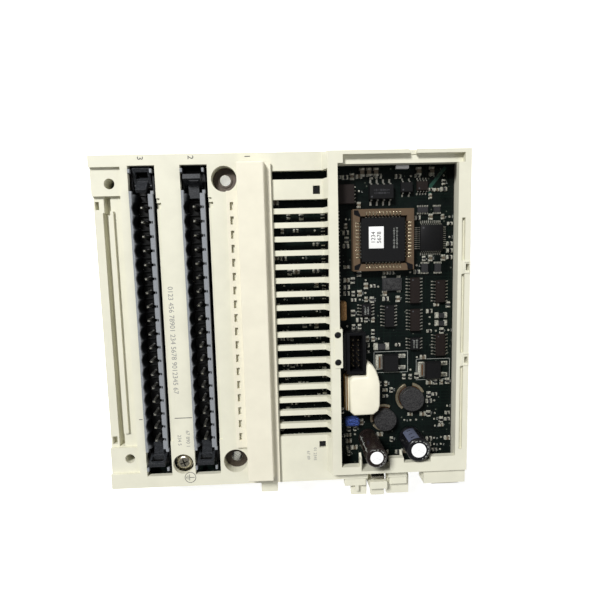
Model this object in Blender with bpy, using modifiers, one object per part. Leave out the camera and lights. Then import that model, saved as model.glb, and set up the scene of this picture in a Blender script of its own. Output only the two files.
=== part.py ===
"""Distributed input/output base for a DIN rail, lying on its back with the front facing +Z.

X runs along the long side, from the busbar strip (-X) to the adapter seat (+X).
Y runs along the three terminal rows. Z is 0 at the back of the housing.
Lengths are in millimetres here and become metres when a mesh is made.
"""
import math

import bmesh
import bpy
from mathutils import Matrix, Vector

MM = 0.001
GAP = 0.3
CIRCLE_SEGMENTS = 24
# How far a cutter runs past the face that it opens.
CLEAR = 1.0

# Driving sizes of the module.
HALF_LENGTH = 68.3
HALF_WIDTH = 62.4
LEDGE_END = -70.5
SEAM_Z = 22.0
PANEL_Z = 36.0
PANEL_THICKNESS = 2.0
WALL = 2.0
FRAME_Z = 40.0
BOARD_TOP = 29.4
BOARD_THICKNESS = 1.6
SEAT_Z = BOARD_TOP + GAP

# The overhanging ledge moves the middle of the part, so everything is shifted to centre it on Y = 0.
SHIFT = Vector((0.0, -(HALF_WIDTH + LEDGE_END) / 2, 0.0))

# Terminal rows.
PITCH = 5.08
WAYS = 18
ROW_MIDDLE = 0.4
PIN_TOP = 38.2
ROW_X = {1: -11.2, 2: -31.4, 3: -49.8}
SLOT_ENDS = (-57.8, 58.6)
SLOT_X = {2: (-36.1, -26.4), 3: (-54.6, -45.0)}
ROW1_OPENING = ((-16.0, -6.6), (-47.4, 49.0))

# Ejector levers.
LEVER_ROOT = 51.0
LEVER_PIVOT_Z = 31.9
LEVER_LEAN = math.radians(20)
LEVER_OPEN_TURN = math.radians(45)

# Adapter seat.
FRAME_X = (14.6, HALF_LENGTH)
FRAME_Y = (-58.5, 61.9)
OPENING_X = (20.1, 63.7)
OPENING_Y = (-52.6, 57.5)
FRAME_SLOPE = 2.1
RAIL_UNDERSIDE_Z = 37.6

# Fixings.
MOUNT_HOLES = ((-20.5, 53.4), (-20.5, -53.0))
MOUNT_HOLE_RADIUS = 2.1
GROUND_SCREW = (-40.6, -53.4)

# DIN rail.
RAIL_HALF = 17.8
RAIL_DEPTH = 8.0
RAIL_LIP = 1.6
RAIL_GRIP_Z = (4.6, 6.4)
LATCH_HALF_WIDTH = 7.0
LATCH_STEM_HALF = 5.5
LATCH_Z = (1.0, 6.2)
LATCH_WING_Z = 2.5
SPRING_Z = 3.2


def collection(name):
    """A new collection under the scene's own one."""
    group = bpy.data.collections.new(name)
    bpy.context.scene.collection.children.link(group)
    return group


def clear_scene():
    """Removes the objects that a new scene starts with."""
    for obj in list(bpy.data.objects):
        bpy.data.objects.remove(obj, do_unlink=True)


clear_scene()
PARTS = collection("plc_module")
CUTTERS = collection("cutters")


def material(name, colour, roughness, metallic=0.0):
    """A Principled material in one plain colour."""
    result = bpy.data.materials.new(name)
    result.use_nodes = True
    shader = result.node_tree.nodes["Principled BSDF"]
    shader.inputs["Base Color"].default_value = (*colour, 1.0)
    shader.inputs["Roughness"].default_value = roughness
    shader.inputs["Metallic"].default_value = metallic
    result.diffuse_color = (*colour, 1.0)
    return result


CREAM = material("cream_plastic", (0.80, 0.77, 0.66), 0.5)
COVER_CREAM = material("cover_plastic", (0.80, 0.76, 0.62), 0.45)
HEADER_GREY = material("header_plastic", (0.055, 0.06, 0.065), 0.45)
LEVER_GREY = material("lever_plastic", (0.09, 0.095, 0.105), 0.45)
BOARD_GREEN = material("solder_mask", (0.012, 0.03, 0.022), 0.4)
BLACK = material("black_plastic", (0.015, 0.015, 0.016), 0.4)
SOCKET_BROWN = material("socket_plastic", (0.13, 0.10, 0.065), 0.5)
NICKEL = material("nickel", (0.65, 0.62, 0.52), 0.3, 1.0)
STEEL = material("spring_steel", (0.45, 0.45, 0.46), 0.35, 1.0)
LABEL_WHITE = material("label_paper", (0.85, 0.85, 0.83), 0.7)
FERRITE = material("ferrite", (0.10, 0.10, 0.115), 0.6)
AMBER = material("winding_tape", (0.22, 0.12, 0.03), 0.4)
TAPE_CREAM = material("insulating_tape", (0.82, 0.79, 0.66), 0.5)
CAN_ALUMINIUM = material("can_aluminium", (0.75, 0.75, 0.76), 0.3, 1.0)
CHIP_GREY = material("ceramic_body", (0.22, 0.22, 0.23), 0.55)
ORANGE = material("capacitor_coating", (0.30, 0.15, 0.04), 0.4)
BLUE = material("suppressor_coating", (0.03, 0.08, 0.30), 0.4)
LENS = material("light_pipe", (0.75, 0.76, 0.72), 0.2)


def brick(bm, x, y, z):
    """A box between two X values, two Y values and two Z values."""
    low = Vector((min(x), min(y), min(z)))
    high = Vector((max(x), max(y), max(z)))
    place = Matrix.Translation((low + high) / 2) @ Matrix.Diagonal((*(high - low), 1.0))
    return bmesh.ops.create_cube(bm, size=1.0, matrix=place)["verts"]


def rod(bm, centre, radius, z, segments=CIRCLE_SEGMENTS):
    """A cylinder along Z, on centre = (x, y), between two Z values."""
    bottom, top = z
    bmesh.ops.create_cone(
        bm,
        cap_ends=True,
        segments=segments,
        radius1=radius,
        radius2=radius,
        depth=top - bottom,
        matrix=Matrix.Translation((*centre, (bottom + top) / 2)),
    )


def cross_rod(bm, centre, radius, x, segments=16):
    """A cylinder along X, on centre = (y, z), between two X values."""
    middle = Vector(((x[0] + x[1]) / 2, *centre))
    turn = Matrix.Rotation(math.pi / 2, 4, "Y")
    bmesh.ops.create_cone(
        bm,
        cap_ends=True,
        segments=segments,
        radius1=radius,
        radius2=radius,
        depth=x[1] - x[0],
        matrix=Matrix.Translation(middle) @ turn,
    )


def bricks(*boxes):
    """A drawing function for several boxes, each given as (x, y, z)."""

    def draw(bm):
        for x, y, z in boxes:
            brick(bm, x, y, z)

    return draw


def rods(*posts):
    """A drawing function for several upright cylinders, each given as (centre, radius, z)."""

    def draw(bm):
        for centre, radius, z in posts:
            rod(bm, centre, radius, z)

    return draw


def mesh_object(name, origin, draw, group):
    """An object whose mesh is drawn in module millimetres and whose origin is at origin."""
    bm = bmesh.new()
    draw(bm)
    bmesh.ops.translate(bm, vec=-Vector(origin), verts=bm.verts)
    bmesh.ops.scale(bm, vec=(MM, MM, MM), verts=bm.verts)
    bmesh.ops.recalc_face_normals(bm, faces=bm.faces)
    mesh = bpy.data.meshes.new(name)
    bm.to_mesh(mesh)
    bm.free()
    obj = bpy.data.objects.new(name, mesh)
    obj.location = (Vector(origin) + SHIFT) * MM
    group.objects.link(obj)
    return obj


def part(name, origin, draw, finish, smooth=False):
    """A named sub-part with its material."""
    obj = mesh_object(name, origin, draw, PARTS)
    obj.data.materials.append(finish)
    if smooth:
        obj.data.shade_smooth()
        obj.data.set_sharp_from_angle(angle=math.radians(35))
    return obj


def boolean(obj, operation, draw):
    """Cuts or joins what draw makes, as an exact Boolean with a hidden cutter."""
    cutter = mesh_object(f"{obj.name}_cutter", (0.0, 0.0, 0.0), draw, CUTTERS)
    cutter.hide_render = True
    cutter.display_type = "WIRE"
    modifier = obj.modifiers.new(operation.lower(), "BOOLEAN")
    modifier.operation = operation
    modifier.solver = "EXACT"
    modifier.object = cutter


def cut(obj, draw):
    """Removes what draw makes."""
    boolean(obj, "DIFFERENCE", draw)


def join(obj, draw):
    """Adds what draw makes."""
    boolean(obj, "UNION", draw)


def bevel(obj, width, segments=2, limit=math.radians(50)):
    """Rounds the edges that are sharper than limit."""
    modifier = obj.modifiers.new("bevel", "BEVEL")
    modifier.width = width * MM
    modifier.segments = segments
    modifier.limit_method = "ANGLE"
    modifier.angle_limit = limit


def way_y(index):
    """Y of one terminal way."""
    return ROW_MIDDLE + ((WAYS - 1) / 2 - index) * PITCH


# ---------------------------------------------------------------- casing


def front_cover():
    """The cream front: panel, skirt, adapter seat frame, busbar strip and every opening."""

    def frame(bm):
        verts = brick(bm, FRAME_X, FRAME_Y, (PANEL_Z - 1.0, FRAME_Z))
        for vert in verts:
            if vert.co.x < OPENING_X[0] and vert.co.z > PANEL_Z:
                vert.co.x += FRAME_SLOPE

    outside = ((-HALF_LENGTH, HALF_LENGTH), (-HALF_WIDTH, HALF_WIDTH), (SEAM_Z, PANEL_Z))
    cover = part("front_cover", (0.0, 0.0, PANEL_Z), bricks(outside), CREAM)
    join(cover, frame)
    inner_x = HALF_LENGTH - WALL
    inner_y = HALF_WIDTH - WALL
    inside_z = (SEAM_Z - CLEAR, PANEL_Z - PANEL_THICKNESS)
    cut(cover, bricks(((-inner_x, inner_x), (-inner_y, inner_y), inside_z)))
    add_busbar_strip(cover, inner_x, inner_y)
    add_fixing_cups(cover)
    add_lower_tabs(cover)
    cut_row_openings(cover)
    cut_vents(cover)
    cut_adapter_seat(cover)
    return cover


def add_busbar_strip(cover, inner_x, inner_y):
    """The stepped strip beside row 3: three levels, a long groove, a rib and two round holes."""
    strip_x = (-inner_x - 0.5, -55.8)
    upper_level = 34.7
    lower_level = 33.3
    outer_x = -HALF_LENGTH - CLEAR
    above = PANEL_Z + CLEAR
    step_y = 47.4
    end_y = 57.4
    join(cover, bricks((strip_x, (-inner_y - 0.5, inner_y + 0.5), (28.0, PANEL_Z - 1.0))))
    middle = ROW_MIDDLE + 0.5
    cut(
        cover,
        bricks(
            ((outer_x, -57.2), (middle + step_y, middle + end_y), (upper_level, above)),
            ((outer_x, -57.2), (middle - end_y, middle - step_y), (upper_level, above)),
        ),
    )
    cut(cover, bricks(((outer_x, -57.6), (middle - step_y, middle + step_y), (lower_level, above))))
    join(cover, bricks(((-62.9, -61.1), (-41.0, 43.0), (lower_level - 0.5, lower_level + 1.1))))
    cut(
        cover,
        bricks(
            ((-65.2, -63.1), (-46.3, 42.4), (29.6, above)),
            ((-67.8, -66.4), (43.6, 46.5), (31.0, above)),
            ((-67.7, -65.9), (-45.4, -42.4), (31.0, above)),
        ),
    )
    cut(cover, bricks(((-64.6, -62.2), (41.5, middle + step_y - 0.1), (29.6, above))))
    cut(cover, rods(((-61.7, 52.6), 1.9, (27.0, above)), ((-61.1, -51.0), 1.85, (27.0, above))))


def add_fixing_cups(cover):
    """Cups round the two panel fixing holes and the recess of the ground screw."""
    cup_bottom = BOARD_TOP + 0.5
    for centre in MOUNT_HOLES:
        join(cover, rods((centre, 5.2, (cup_bottom, PANEL_Z - 1.0))))
        cut(cover, rods((centre, 4.6, (cup_bottom + 1.4, PANEL_Z + CLEAR))))
        cut(cover, rods((centre, MOUNT_HOLE_RADIUS, (cup_bottom - 1.0, PANEL_Z))))
    cut(cover, rods((GROUND_SCREW, 3.9, (PANEL_Z - 4.0, PANEL_Z + CLEAR))))


def add_lower_tabs(cover):
    """The stepped tabs past the lower edge, the adapter lock's gap between two of them, and a notch."""
    step_z = (31.0, 33.2)
    join(
        cover,
        bricks(
            ((-11.2, -4.7), (-67.6, -61.4), step_z),
            ((24.5, 30.7), (LEDGE_END, -61.4), step_z),
            ((38.8, 47.6), (LEDGE_END, -61.4), step_z),
            ((57.0, HALF_LENGTH - 0.6), (-67.4, -61.4), step_z),
        ),
    )
    tab_y = (-65.4, -61.0)
    tab_z = (32.0, PANEL_Z - 0.4)
    join(cover, bricks(((21.7, 30.0), tab_y, tab_z), ((39.4, 46.2), tab_y, tab_z)))
    join(cover, bricks(((52.2, HALF_LENGTH), (-64.2, -58.0), (32.0, PANEL_Z + 2.4))))
    join(cover, bricks(((25.8, 27.2), (-67.8, -65.0), (32.0, PANEL_Z - 0.6))))
    cut(cover, bricks(((30.7, 38.8), (-71.3, -59.0), (SEAM_Z - CLEAR, FRAME_Z + CLEAR))))
    cut(cover, bricks(((46.2, 52.2), (-63.0, -59.4), (32.5, PANEL_Z + CLEAR))))


def cut_row_openings(cover):
    """The slots of the terminal rows and the narrow marking recess beside each."""
    through = (20.0, PANEL_Z + CLEAR)
    shallow = (PANEL_Z - 0.7, PANEL_Z + CLEAR)
    slots = [(SLOT_X[row], SLOT_ENDS, through) for row in (2, 3)]
    cut(cover, bricks(*slots, (*ROW1_OPENING, through)))
    deep = (PANEL_Z - 1.6, PANEL_Z + CLEAR)
    edges = [SLOT_X[row][1] for row in (2, 3)]
    cut(cover, bricks(*(((edge - 0.5, edge + 1.2), (-44.2, 47.0), shallow) for edge in edges)))
    cut(cover, bricks(*(((edge - 0.5, edge + 1.7), (43.3, 45.4), deep) for edge in edges)))


def cut_vents(cover):
    """The ladder of legend slots, which run up the sloping side of the seat frame, and the light windows."""
    slot_x = (-3.2, 16.9)
    half_height = 1.55
    slot_z = (PANEL_Z - 4.0, FRAME_Z - 0.6)
    centres = [way_y(index) + 0.45 for index in range(WAYS)]
    centres.append(54.3)
    cut(cover, bricks(*((slot_x, (y - half_height, y + half_height), slot_z) for y in centres)))
    cut(
        cover,
        bricks(
            ((11.5, 14.1), (47.4, 50.4), (PANEL_Z - 4.0, PANEL_Z + CLEAR)),
            ((12.0, 14.5), (-49.0, -46.4), (PANEL_Z - 4.0, PANEL_Z + CLEAR)),
        ),
    )


def cut_adapter_seat(cover):
    """The opening over the board, the bays round the tall capacitors, and the rails' grooves and sockets."""
    through = (20.0, FRAME_Z + CLEAR)
    cut(cover, bricks((OPENING_X, OPENING_Y, through)))
    cut(cover, bricks(((27.6, 38.6), (-57.4, OPENING_Y[0] + 1.0), through)))
    cut(cover, bricks(((43.9, 54.3), (-54.6, OPENING_Y[0] + 1.0), through)))
    cut(cover, bricks(((OPENING_X[0], 27.0), (-55.5, OPENING_Y[0] + 1.0), through)))
    under_rails = (20.0, RAIL_UNDERSIDE_Z)
    cut(cover, bricks(((OPENING_X[0], 66.2), (-57.0, OPENING_Y[1]), under_rails)))
    groove_x = (65.1, 66.3)
    groove_z = (38.6, FRAME_Z + CLEAR)
    clip_x = (66.7, 68.0)
    cut(
        cover,
        bricks(
            ((22.0, 66.0), (57.2, 60.5), (37.6, FRAME_Z + CLEAR)),
            (groove_x, (22.1, 37.5), groove_z),
            (groove_x, (-12.3, 17.1), groove_z),
            (groove_x, (-50.0, -17.5), groove_z),
            (clip_x, (18.4, 20.8), (37.0, FRAME_Z + CLEAR)),
            (clip_x, (-16.3, -13.9), (37.0, FRAME_Z + CLEAR)),
        ),
    )
    cut(cover, bricks(((45.9, 48.6), (60.0, 63.0), (38.0, FRAME_Z + CLEAR))))
    join(cover, bricks(((18.0, 21.0), (-16.6, -2.0), (34.5, FRAME_Z + 0.3))))
    guide_z = (36.5, FRAME_Z + CLEAR)
    cut(cover, rods(((19.3, -4.2), 1.25, guide_z), ((19.3, -14.5), 1.25, guide_z)))


def rear_housing():
    """The back shell: DIN rail channel, fixed hook, latch guide, screw columns and board posts."""
    half_x = HALF_LENGTH - 0.4
    half_y = HALF_WIDTH - 0.4
    top = SEAM_Z - GAP
    floor = 2.2
    raised_floor = RAIL_DEPTH + 2.0
    block_x = RAIL_HALF + 2.7
    inner_x = half_x - WALL
    inner_y = half_y - WALL
    within_y = (-inner_y, inner_y)
    outside = ((-half_x, half_x), (-half_y, half_y), (0.0, top))
    housing = part("rear_housing", (0.0, 0.0, 0.0), bricks(outside), CREAM)
    left_room = ((-inner_x, -block_x - 1.0), within_y, (floor, top + CLEAR))
    right_room = ((block_x + 1.0, inner_x), within_y, (floor, top + CLEAR))
    cut(housing, bricks(left_room, right_room))
    cut(housing, bricks(((-block_x - 2.0, block_x + 2.0), within_y, (raised_floor, top + CLEAR))))
    guide_x = (18.0, inner_x - 1.5)
    guide_y = LATCH_HALF_WIDTH + 2.6
    join(housing, bricks((guide_x, (-guide_y, guide_y), (floor - 0.5, RAIL_DEPTH + 1.0))))
    for centre in MOUNT_HOLES:
        join(housing, rods((centre, 4.2, (floor - 0.5, BOARD_TOP - 0.6))))
    board_posts = [(x, y) for x in (-54.0, 58.0) for y in (-56.5, 57.0)]
    post_z = (floor - 0.5, BOARD_TOP - BOARD_THICKNESS - GAP)
    join(housing, rods(*((centre, 2.4, post_z) for centre in board_posts)))
    join(housing, bricks(((29.0, 40.5), (-69.0, -61.0), (10.0, top))))
    cut_rail_channel(housing, half_y)
    cut_latch_guide(housing, half_x)
    for centre in MOUNT_HOLES:
        cut(housing, rods((centre, MOUNT_HOLE_RADIUS, (-CLEAR, BOARD_TOP))))
    return housing


def cut_rail_channel(housing, half_y):
    """The channel across the back, with a lip on one side that hooks behind the rail's flange."""
    along = (-half_y - CLEAR, half_y + CLEAR)
    lip_x = -RAIL_HALF + RAIL_LIP
    cut(housing, bricks(((lip_x, RAIL_HALF), along, (-CLEAR, RAIL_DEPTH))))
    cut(housing, bricks(((-RAIL_HALF, lip_x + 0.2), along, (-CLEAR, RAIL_GRIP_Z[0]))))
    relief_z = (RAIL_DEPTH - 0.3, RAIL_DEPTH + 0.3)
    relief_x = RAIL_HALF - RAIL_LIP - 0.4
    for x in ((-RAIL_HALF, -relief_x), (relief_x, RAIL_HALF)):
        cut(housing, bricks((x, along, relief_z)))
    cut(housing, bricks(((-RAIL_HALF, lip_x + 0.2), along, (RAIL_GRIP_Z[1], RAIL_DEPTH))))


def cut_latch_guide(housing, half_x):
    """The T-shaped guide of the latch, open at the outer wall, and the stop for its spring."""
    play = 0.4
    stem = LATCH_STEM_HALF + play
    wing = LATCH_HALF_WIDTH + play
    guide_x = (RAIL_HALF - CLEAR, half_x + CLEAR)
    cut(housing, bricks((guide_x, (-stem, stem), (-CLEAR, LATCH_Z[1] + GAP))))
    cut(housing, bricks((guide_x, (-wing, wing), (LATCH_WING_Z - GAP, LATCH_Z[1] + GAP))))
    join(housing, bricks(((52.6, 55.0), (-2.8, 2.8), (SPRING_Z - 2.0, LATCH_Z[1] + 1.0))))


def row1_cover():
    """The raised protective bar over row 1, with its windowed flange on the left and a foot on the right."""
    bottom = PANEL_Z + GAP
    top = 41.2

    def bar(bm):
        verts = brick(bm, (-15.7, -5.6), (-59.6, 58.9), (bottom, top))
        for vert in verts:
            if vert.co.z > bottom + 1.0:
                vert.co.x += 0.2 if vert.co.x < -10.0 else -0.4
                vert.co.y -= math.copysign(0.5, vert.co.y)

    cover = part("row1_cover", (-10.7, 0.0, bottom), bar, COVER_CREAM)
    bevel(cover, 0.4)
    join(
        cover,
        bricks(
            ((-19.8, -15.0), (-47.2, 49.0), (bottom, bottom + 1.0)),
            ((-6.4, -3.6), (-61.6, 58.6), (bottom, bottom + 1.3)),
        ),
    )
    cut(cover, bricks(((-14.2, -7.2), (-56.5, 56.5), (bottom - 1.0, top - 1.3))))
    half_window = 1.45
    window_z = (bottom - CLEAR, bottom + 2.0)
    middles = [way_y(index) for index in range(WAYS)]
    cut(cover, bricks(*(((-18.6, -17.4), (y - half_window, y + half_window), window_z) for y in middles)))
    return cover


# ---------------------------------------------------------------- terminals and levers


def terminal_header(name, row, flange_top, bracket_reach=0.0):
    """An 18-way pin header: base, scalloped left flange, plain right flange and square pins.

    bracket_reach is how far lever brackets stand out past each end.
    """
    x = ROW_X[row]
    middle = ROW_MIDDLE + 0.5
    half = WAYS * PITCH / 2 + 1.9
    whole = half + bracket_reach
    base_top = SEAT_Z + 1.8
    outer_x = (x - 4.5, x + 4.0)
    inner_x = (x - 2.4, x + 2.2)
    above = flange_top + CLEAR
    block = bricks((outer_x, (middle - whole, middle + whole), (SEAT_Z, flange_top)))
    header = part(name, (x, ROW_MIDDLE, SEAT_Z), block, HEADER_GREY)
    cut(header, bricks((inner_x, (middle - half + 0.8, middle + half - 0.8), (base_top, above))))
    if bracket_reach:
        cut_lever_brackets(header, x, middle, half, whole, above)
    else:
        cut(header, bricks((inner_x, (middle - half - 1.0, middle + half + 1.0), (base_top + 0.7, above))))

    def pockets(bm):
        for index in range(WAYS):
            rod(bm, (x - 0.7, way_y(index)), 3.1, (base_top + 0.6, above), 20)

    boolean(header, "DIFFERENCE", pockets)
    header.modifiers[-1].use_self = True
    pin = 0.5
    pin_x = (x - pin, x + pin)
    pin_z = (SEAT_Z + 0.5, PIN_TOP)
    middles = [way_y(index) for index in range(WAYS)]
    join(header, bricks(*((pin_x, (y - pin, y + pin), pin_z) for y in middles)))
    return header


def cut_lever_brackets(header, x, middle, half, whole, above):
    """Shapes both ends of a header into low cheeks and end posts, for a lever to turn between."""
    past_x = (x - 6.0, x + 6.0)
    between_cheeks = (x - 3.65, x + 3.15)
    cheek_top = LEVER_PIVOT_Z + 1.6
    sides = []
    hollows = []
    for side in (-1, 1):
        start = middle + side * (half + 0.3)
        post = middle + side * (whole - 1.5)
        past_end = middle + side * (whole + CLEAR)
        sides.append((past_x, (start, post), (cheek_top, above)))
        hollows.append((between_cheeks, (start, past_end), (SEAT_Z + 0.7, above)))
    cut(header, bricks(*sides))
    cut(header, bricks(*hollows))
    low_end = (x - 2.4, x + 2.2)
    cut(header, bricks((low_end, (middle - half - 0.5, middle + half + 0.5), (SEAT_Z + 2.5, above))))


def ejector_lever(name, row, side, opened):
    """A lever that pushes the plug out: barrel, windowed handle and a latch arm over the header."""
    x = ROW_X[row] - 0.25
    pivot_y = ROW_MIDDLE + 0.5 + side * LEVER_ROOT
    length = 6.7
    half = 3.1

    def turned(bm, draw, angle):
        verts = draw(bm)
        turn = Matrix.Rotation(-side * angle, 4, "X")
        pivot = Vector((x, pivot_y, LEVER_PIVOT_Z))
        bmesh.ops.rotate(bm, cent=pivot, matrix=turn, verts=verts)

    def handle(bm):
        thickness = (pivot_y - 0.9, pivot_y + 0.9)
        return brick(bm, (x - half, x + half), thickness, (LEVER_PIVOT_Z, LEVER_PIVOT_Z + length))

    def window(bm):
        low = LEVER_PIVOT_Z + 2.9
        return brick(bm, (x - 2.2, x + 2.2), (pivot_y - 2.0, pivot_y + 2.0), (low, low + 2.5))

    def arm(bm):
        ends = (pivot_y + side * 0.8, pivot_y - side * 5.0)
        return brick(bm, (x - 1.9, x + 1.9), ends, (LEVER_PIVOT_Z + 1.0, LEVER_PIVOT_Z + 2.3))

    extra = LEVER_OPEN_TURN if opened else 0.0
    lever = part(
        name,
        (x, pivot_y, LEVER_PIVOT_Z),
        lambda bm: turned(bm, handle, LEVER_LEAN + extra),
        LEVER_GREY,
    )
    join(lever, lambda bm: cross_rod(bm, (pivot_y, LEVER_PIVOT_Z), 1.15, (x - half, x + half)))
    join(lever, lambda bm: turned(bm, arm, extra))
    cut(lever, lambda bm: turned(bm, window, LEVER_LEAN + extra))
    return lever


def terminals():
    """The three headers and the four ejector levers of rows 2 and 3."""
    terminal_header("terminal_header_row1", 1, 35.7)
    for row in (2, 3):
        terminal_header(f"terminal_header_row{row}", row, 37.0, bracket_reach=8.8)
        ejector_lever(f"lever_row{row}_top", row, 1, opened=row == 3)
        ejector_lever(f"lever_row{row}_bottom", row, -1, opened=False)


# ---------------------------------------------------------------- fixings


def ground_fixings():
    """The threaded ground plate, its captive washer and the cross-head screw."""
    x, y = GROUND_SCREW
    sheet = ((x - 3.6, x + 3.6), (y - 5.0, y + 4.2), (SEAT_Z + 0.1, 31.0))
    plate = part("ground_plate", (x, y, 30.2), bricks(sheet), NICKEL)
    cut(plate, rods(((x, y), 1.8, (28.0, 33.0))))
    washer = part("ground_washer", (x, y, 31.3), rods(((x, y), 3.5, (31.3, 32.4))), NICKEL, smooth=True)
    cut(washer, rods(((x, y), 1.8, (30.0, 34.0))))

    def recess(bm):
        brick(bm, (x - 1.6, x + 1.6), (y - 0.3, y + 0.3), (34.0, 36.0))

    def cross_recess(bm):
        brick(bm, (x - 0.3, x + 0.3), (y - 1.6, y + 1.6), (34.0, 36.0))

    screw = part("ground_screw", (x, y, 32.7), rods(((x, y), 3.0, (32.7, 34.9))), NICKEL, smooth=True)
    bevel(screw, 0.7, 2)
    join(screw, rods(((x, y), 1.5, (24.0, 33.2))))
    cut(screw, recess)
    cut(screw, cross_recess)


def din_latch():
    """The sliding rail latch: nose behind the rail, winged bar in the guide and a screwdriver slot."""
    bottom, top = LATCH_Z
    stem = LATCH_STEM_HALF
    wing = LATCH_HALF_WIDTH
    nose_x = RAIL_HALF - RAIL_LIP
    bar = ((nose_x, HALF_LENGTH), (-wing, wing), (bottom, top))
    latch = part("din_latch", (RAIL_HALF, 0.0, 0.0), bricks(bar), LEVER_GREY)
    for side in (-1, 1):
        along = (nose_x - CLEAR, HALF_LENGTH + CLEAR)
        below_wing = (side * stem, side * (wing + CLEAR))
        cut(latch, bricks((along, below_wing, (bottom - CLEAR, LATCH_WING_Z))))
    below_nose = (bottom - CLEAR, RAIL_GRIP_Z[0] - 0.4)
    cut(latch, bricks(((nose_x - CLEAR, 18.6), (-wing - CLEAR, wing + CLEAR), below_nose)))
    spring_window = ((44.0, 57.0), (-3.4, 3.4), (bottom - CLEAR, top + CLEAR))
    driver_slot = ((62.4, 65.0), (-4.0, 4.0), (bottom - CLEAR, top + CLEAR))
    cut(latch, bricks(spring_window, driver_slot))


def din_latch_spring():
    """A zigzag wire spring between the latch and a stop on the housing."""
    turns = 6
    start = 45.2
    finish = 51.8
    half = 2.2
    points = []
    for index in range(turns + 1):
        x = start + (finish - start) * index / turns
        y = half if index % 2 else -half
        points.append((x, y, SPRING_Z))
    curve = bpy.data.curves.new("din_latch_spring", "CURVE")
    curve.dimensions = "3D"
    curve.bevel_depth = 0.4 * MM
    curve.bevel_resolution = 2
    curve.use_fill_caps = True
    spline = curve.splines.new("POLY")
    spline.points.add(len(points) - 1)
    for point, co in zip(spline.points, points):
        local = Vector(co) - Vector((start, 0.0, SPRING_Z))
        point.co = (*(local * MM), 1.0)
    spring = bpy.data.objects.new("din_latch_spring", curve)
    spring.location = (Vector((start, 0.0, SPRING_Z)) + SHIFT) * MM
    PARTS.objects.link(spring)
    curve.materials.append(STEEL)


def adapter_lock():
    """The springy tongue at the lower edge that holds the adapter, and the ground contact beside it."""
    x = (31.3, 38.2)
    root = (34.75, -65.6, SEAM_Z + 1.0)
    lock = part(
        "adapter_lock",
        root,
        bricks((x, (-66.4, -64.8), (SEAM_Z, 37.2))),
        CREAM,
    )
    join(lock, bricks((x, (-65.0, -63.4), (35.4, 37.2))))
    join(lock, bricks(((32.0, 37.4), (-70.2, -66.0), (33.0, 34.6))))
    part(
        "adapter_ground_contact",
        (34.75, -60.6, SEAM_Z),
        bricks(((32.2, 37.3), (-62.2, -61.6), (SEAM_Z + 0.4, 36.4))),
        NICKEL,
    )


# ---------------------------------------------------------------- board and its components


def circuit_board():
    """The single board that carries the terminals and the electronics."""
    board = part(
        "circuit_board",
        (0.0, 0.0, BOARD_TOP),
        bricks(((-55.4, 65.9), (-60.0, 60.0), (BOARD_TOP - BOARD_THICKNESS, BOARD_TOP))),
        BOARD_GREEN,
    )
    holes = [(centre, 4.6, (20.0, 32.0)) for centre in MOUNT_HOLES]
    holes.append((GROUND_SCREW, 2.2, (20.0, 32.0)))
    cut(board, rods(*holes))


def small_outline(name, centre, ways, tip_span, body_width=3.9, across=False, pitch=1.27, top=31.3):
    """A small-outline package with leads on two sides. across puts the leads on the Y sides."""
    half_width = body_width / 2
    half_length = (ways * pitch - 0.25 * pitch + 0.3) / 2
    half_lead = 0.165 * pitch + 0.02

    def placed(width, length, z):
        """A box from its widths off the centre line and its lengths along it."""
        sides = (length, width) if across else (width, length)
        x, y = (tuple(middle + value for value in side) for middle, side in zip(centre, sides))
        return (x, y, z)

    body = placed((-half_width, half_width), (-half_length, half_length), (SEAT_Z + 0.25, top))
    chip = part(name, (*centre, SEAT_Z), bricks(body), BLACK)
    leads = []
    for index in range(ways):
        along = ((ways - 1) / 2 - index) * pitch
        for side in (-1, 1):
            reach = (side * (half_width - 0.3), side * tip_span / 2)
            leads.append(placed(reach, (along - half_lead, along + half_lead), (SEAT_Z, SEAT_Z + 0.7)))
    join(chip, bricks(*leads))
    return chip


def logic_chips():
    """The small-outline packages on the board."""
    layout = (
        ((50.7, 10.6), 8),
        ((50.8, -1.0), 7),
        ((50.8, -10.4), 4),
        ((60.7, 10.0), 7),
        ((60.9, -11.2), 7),
        ((31.7, 3.5), 4),
        ((40.7, 0.9), 7),
    )
    for number, (centre, ways) in enumerate(layout, start=1):
        small_outline(f"logic_chip_{number}", centre, ways, 6.4)
    for number in range(3):
        small_outline(f"light_driver_{number + 1}", (18.0, 36.0 - 11.6 * number), 8, 6.4)
    small_outline("timer_chip", (53.3, 50.2), 4, 6.2, 3.7, across=True, pitch=1.1)
    small_outline("opto_wide", (37.4, 48.2), 4, 9.6, 5.6, across=True, pitch=2.4, top=33.0)
    small_outline("opto_small", (47.2, 49.8), 2, 6.6, 3.9, across=True, pitch=2.54, top=31.8)


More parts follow.
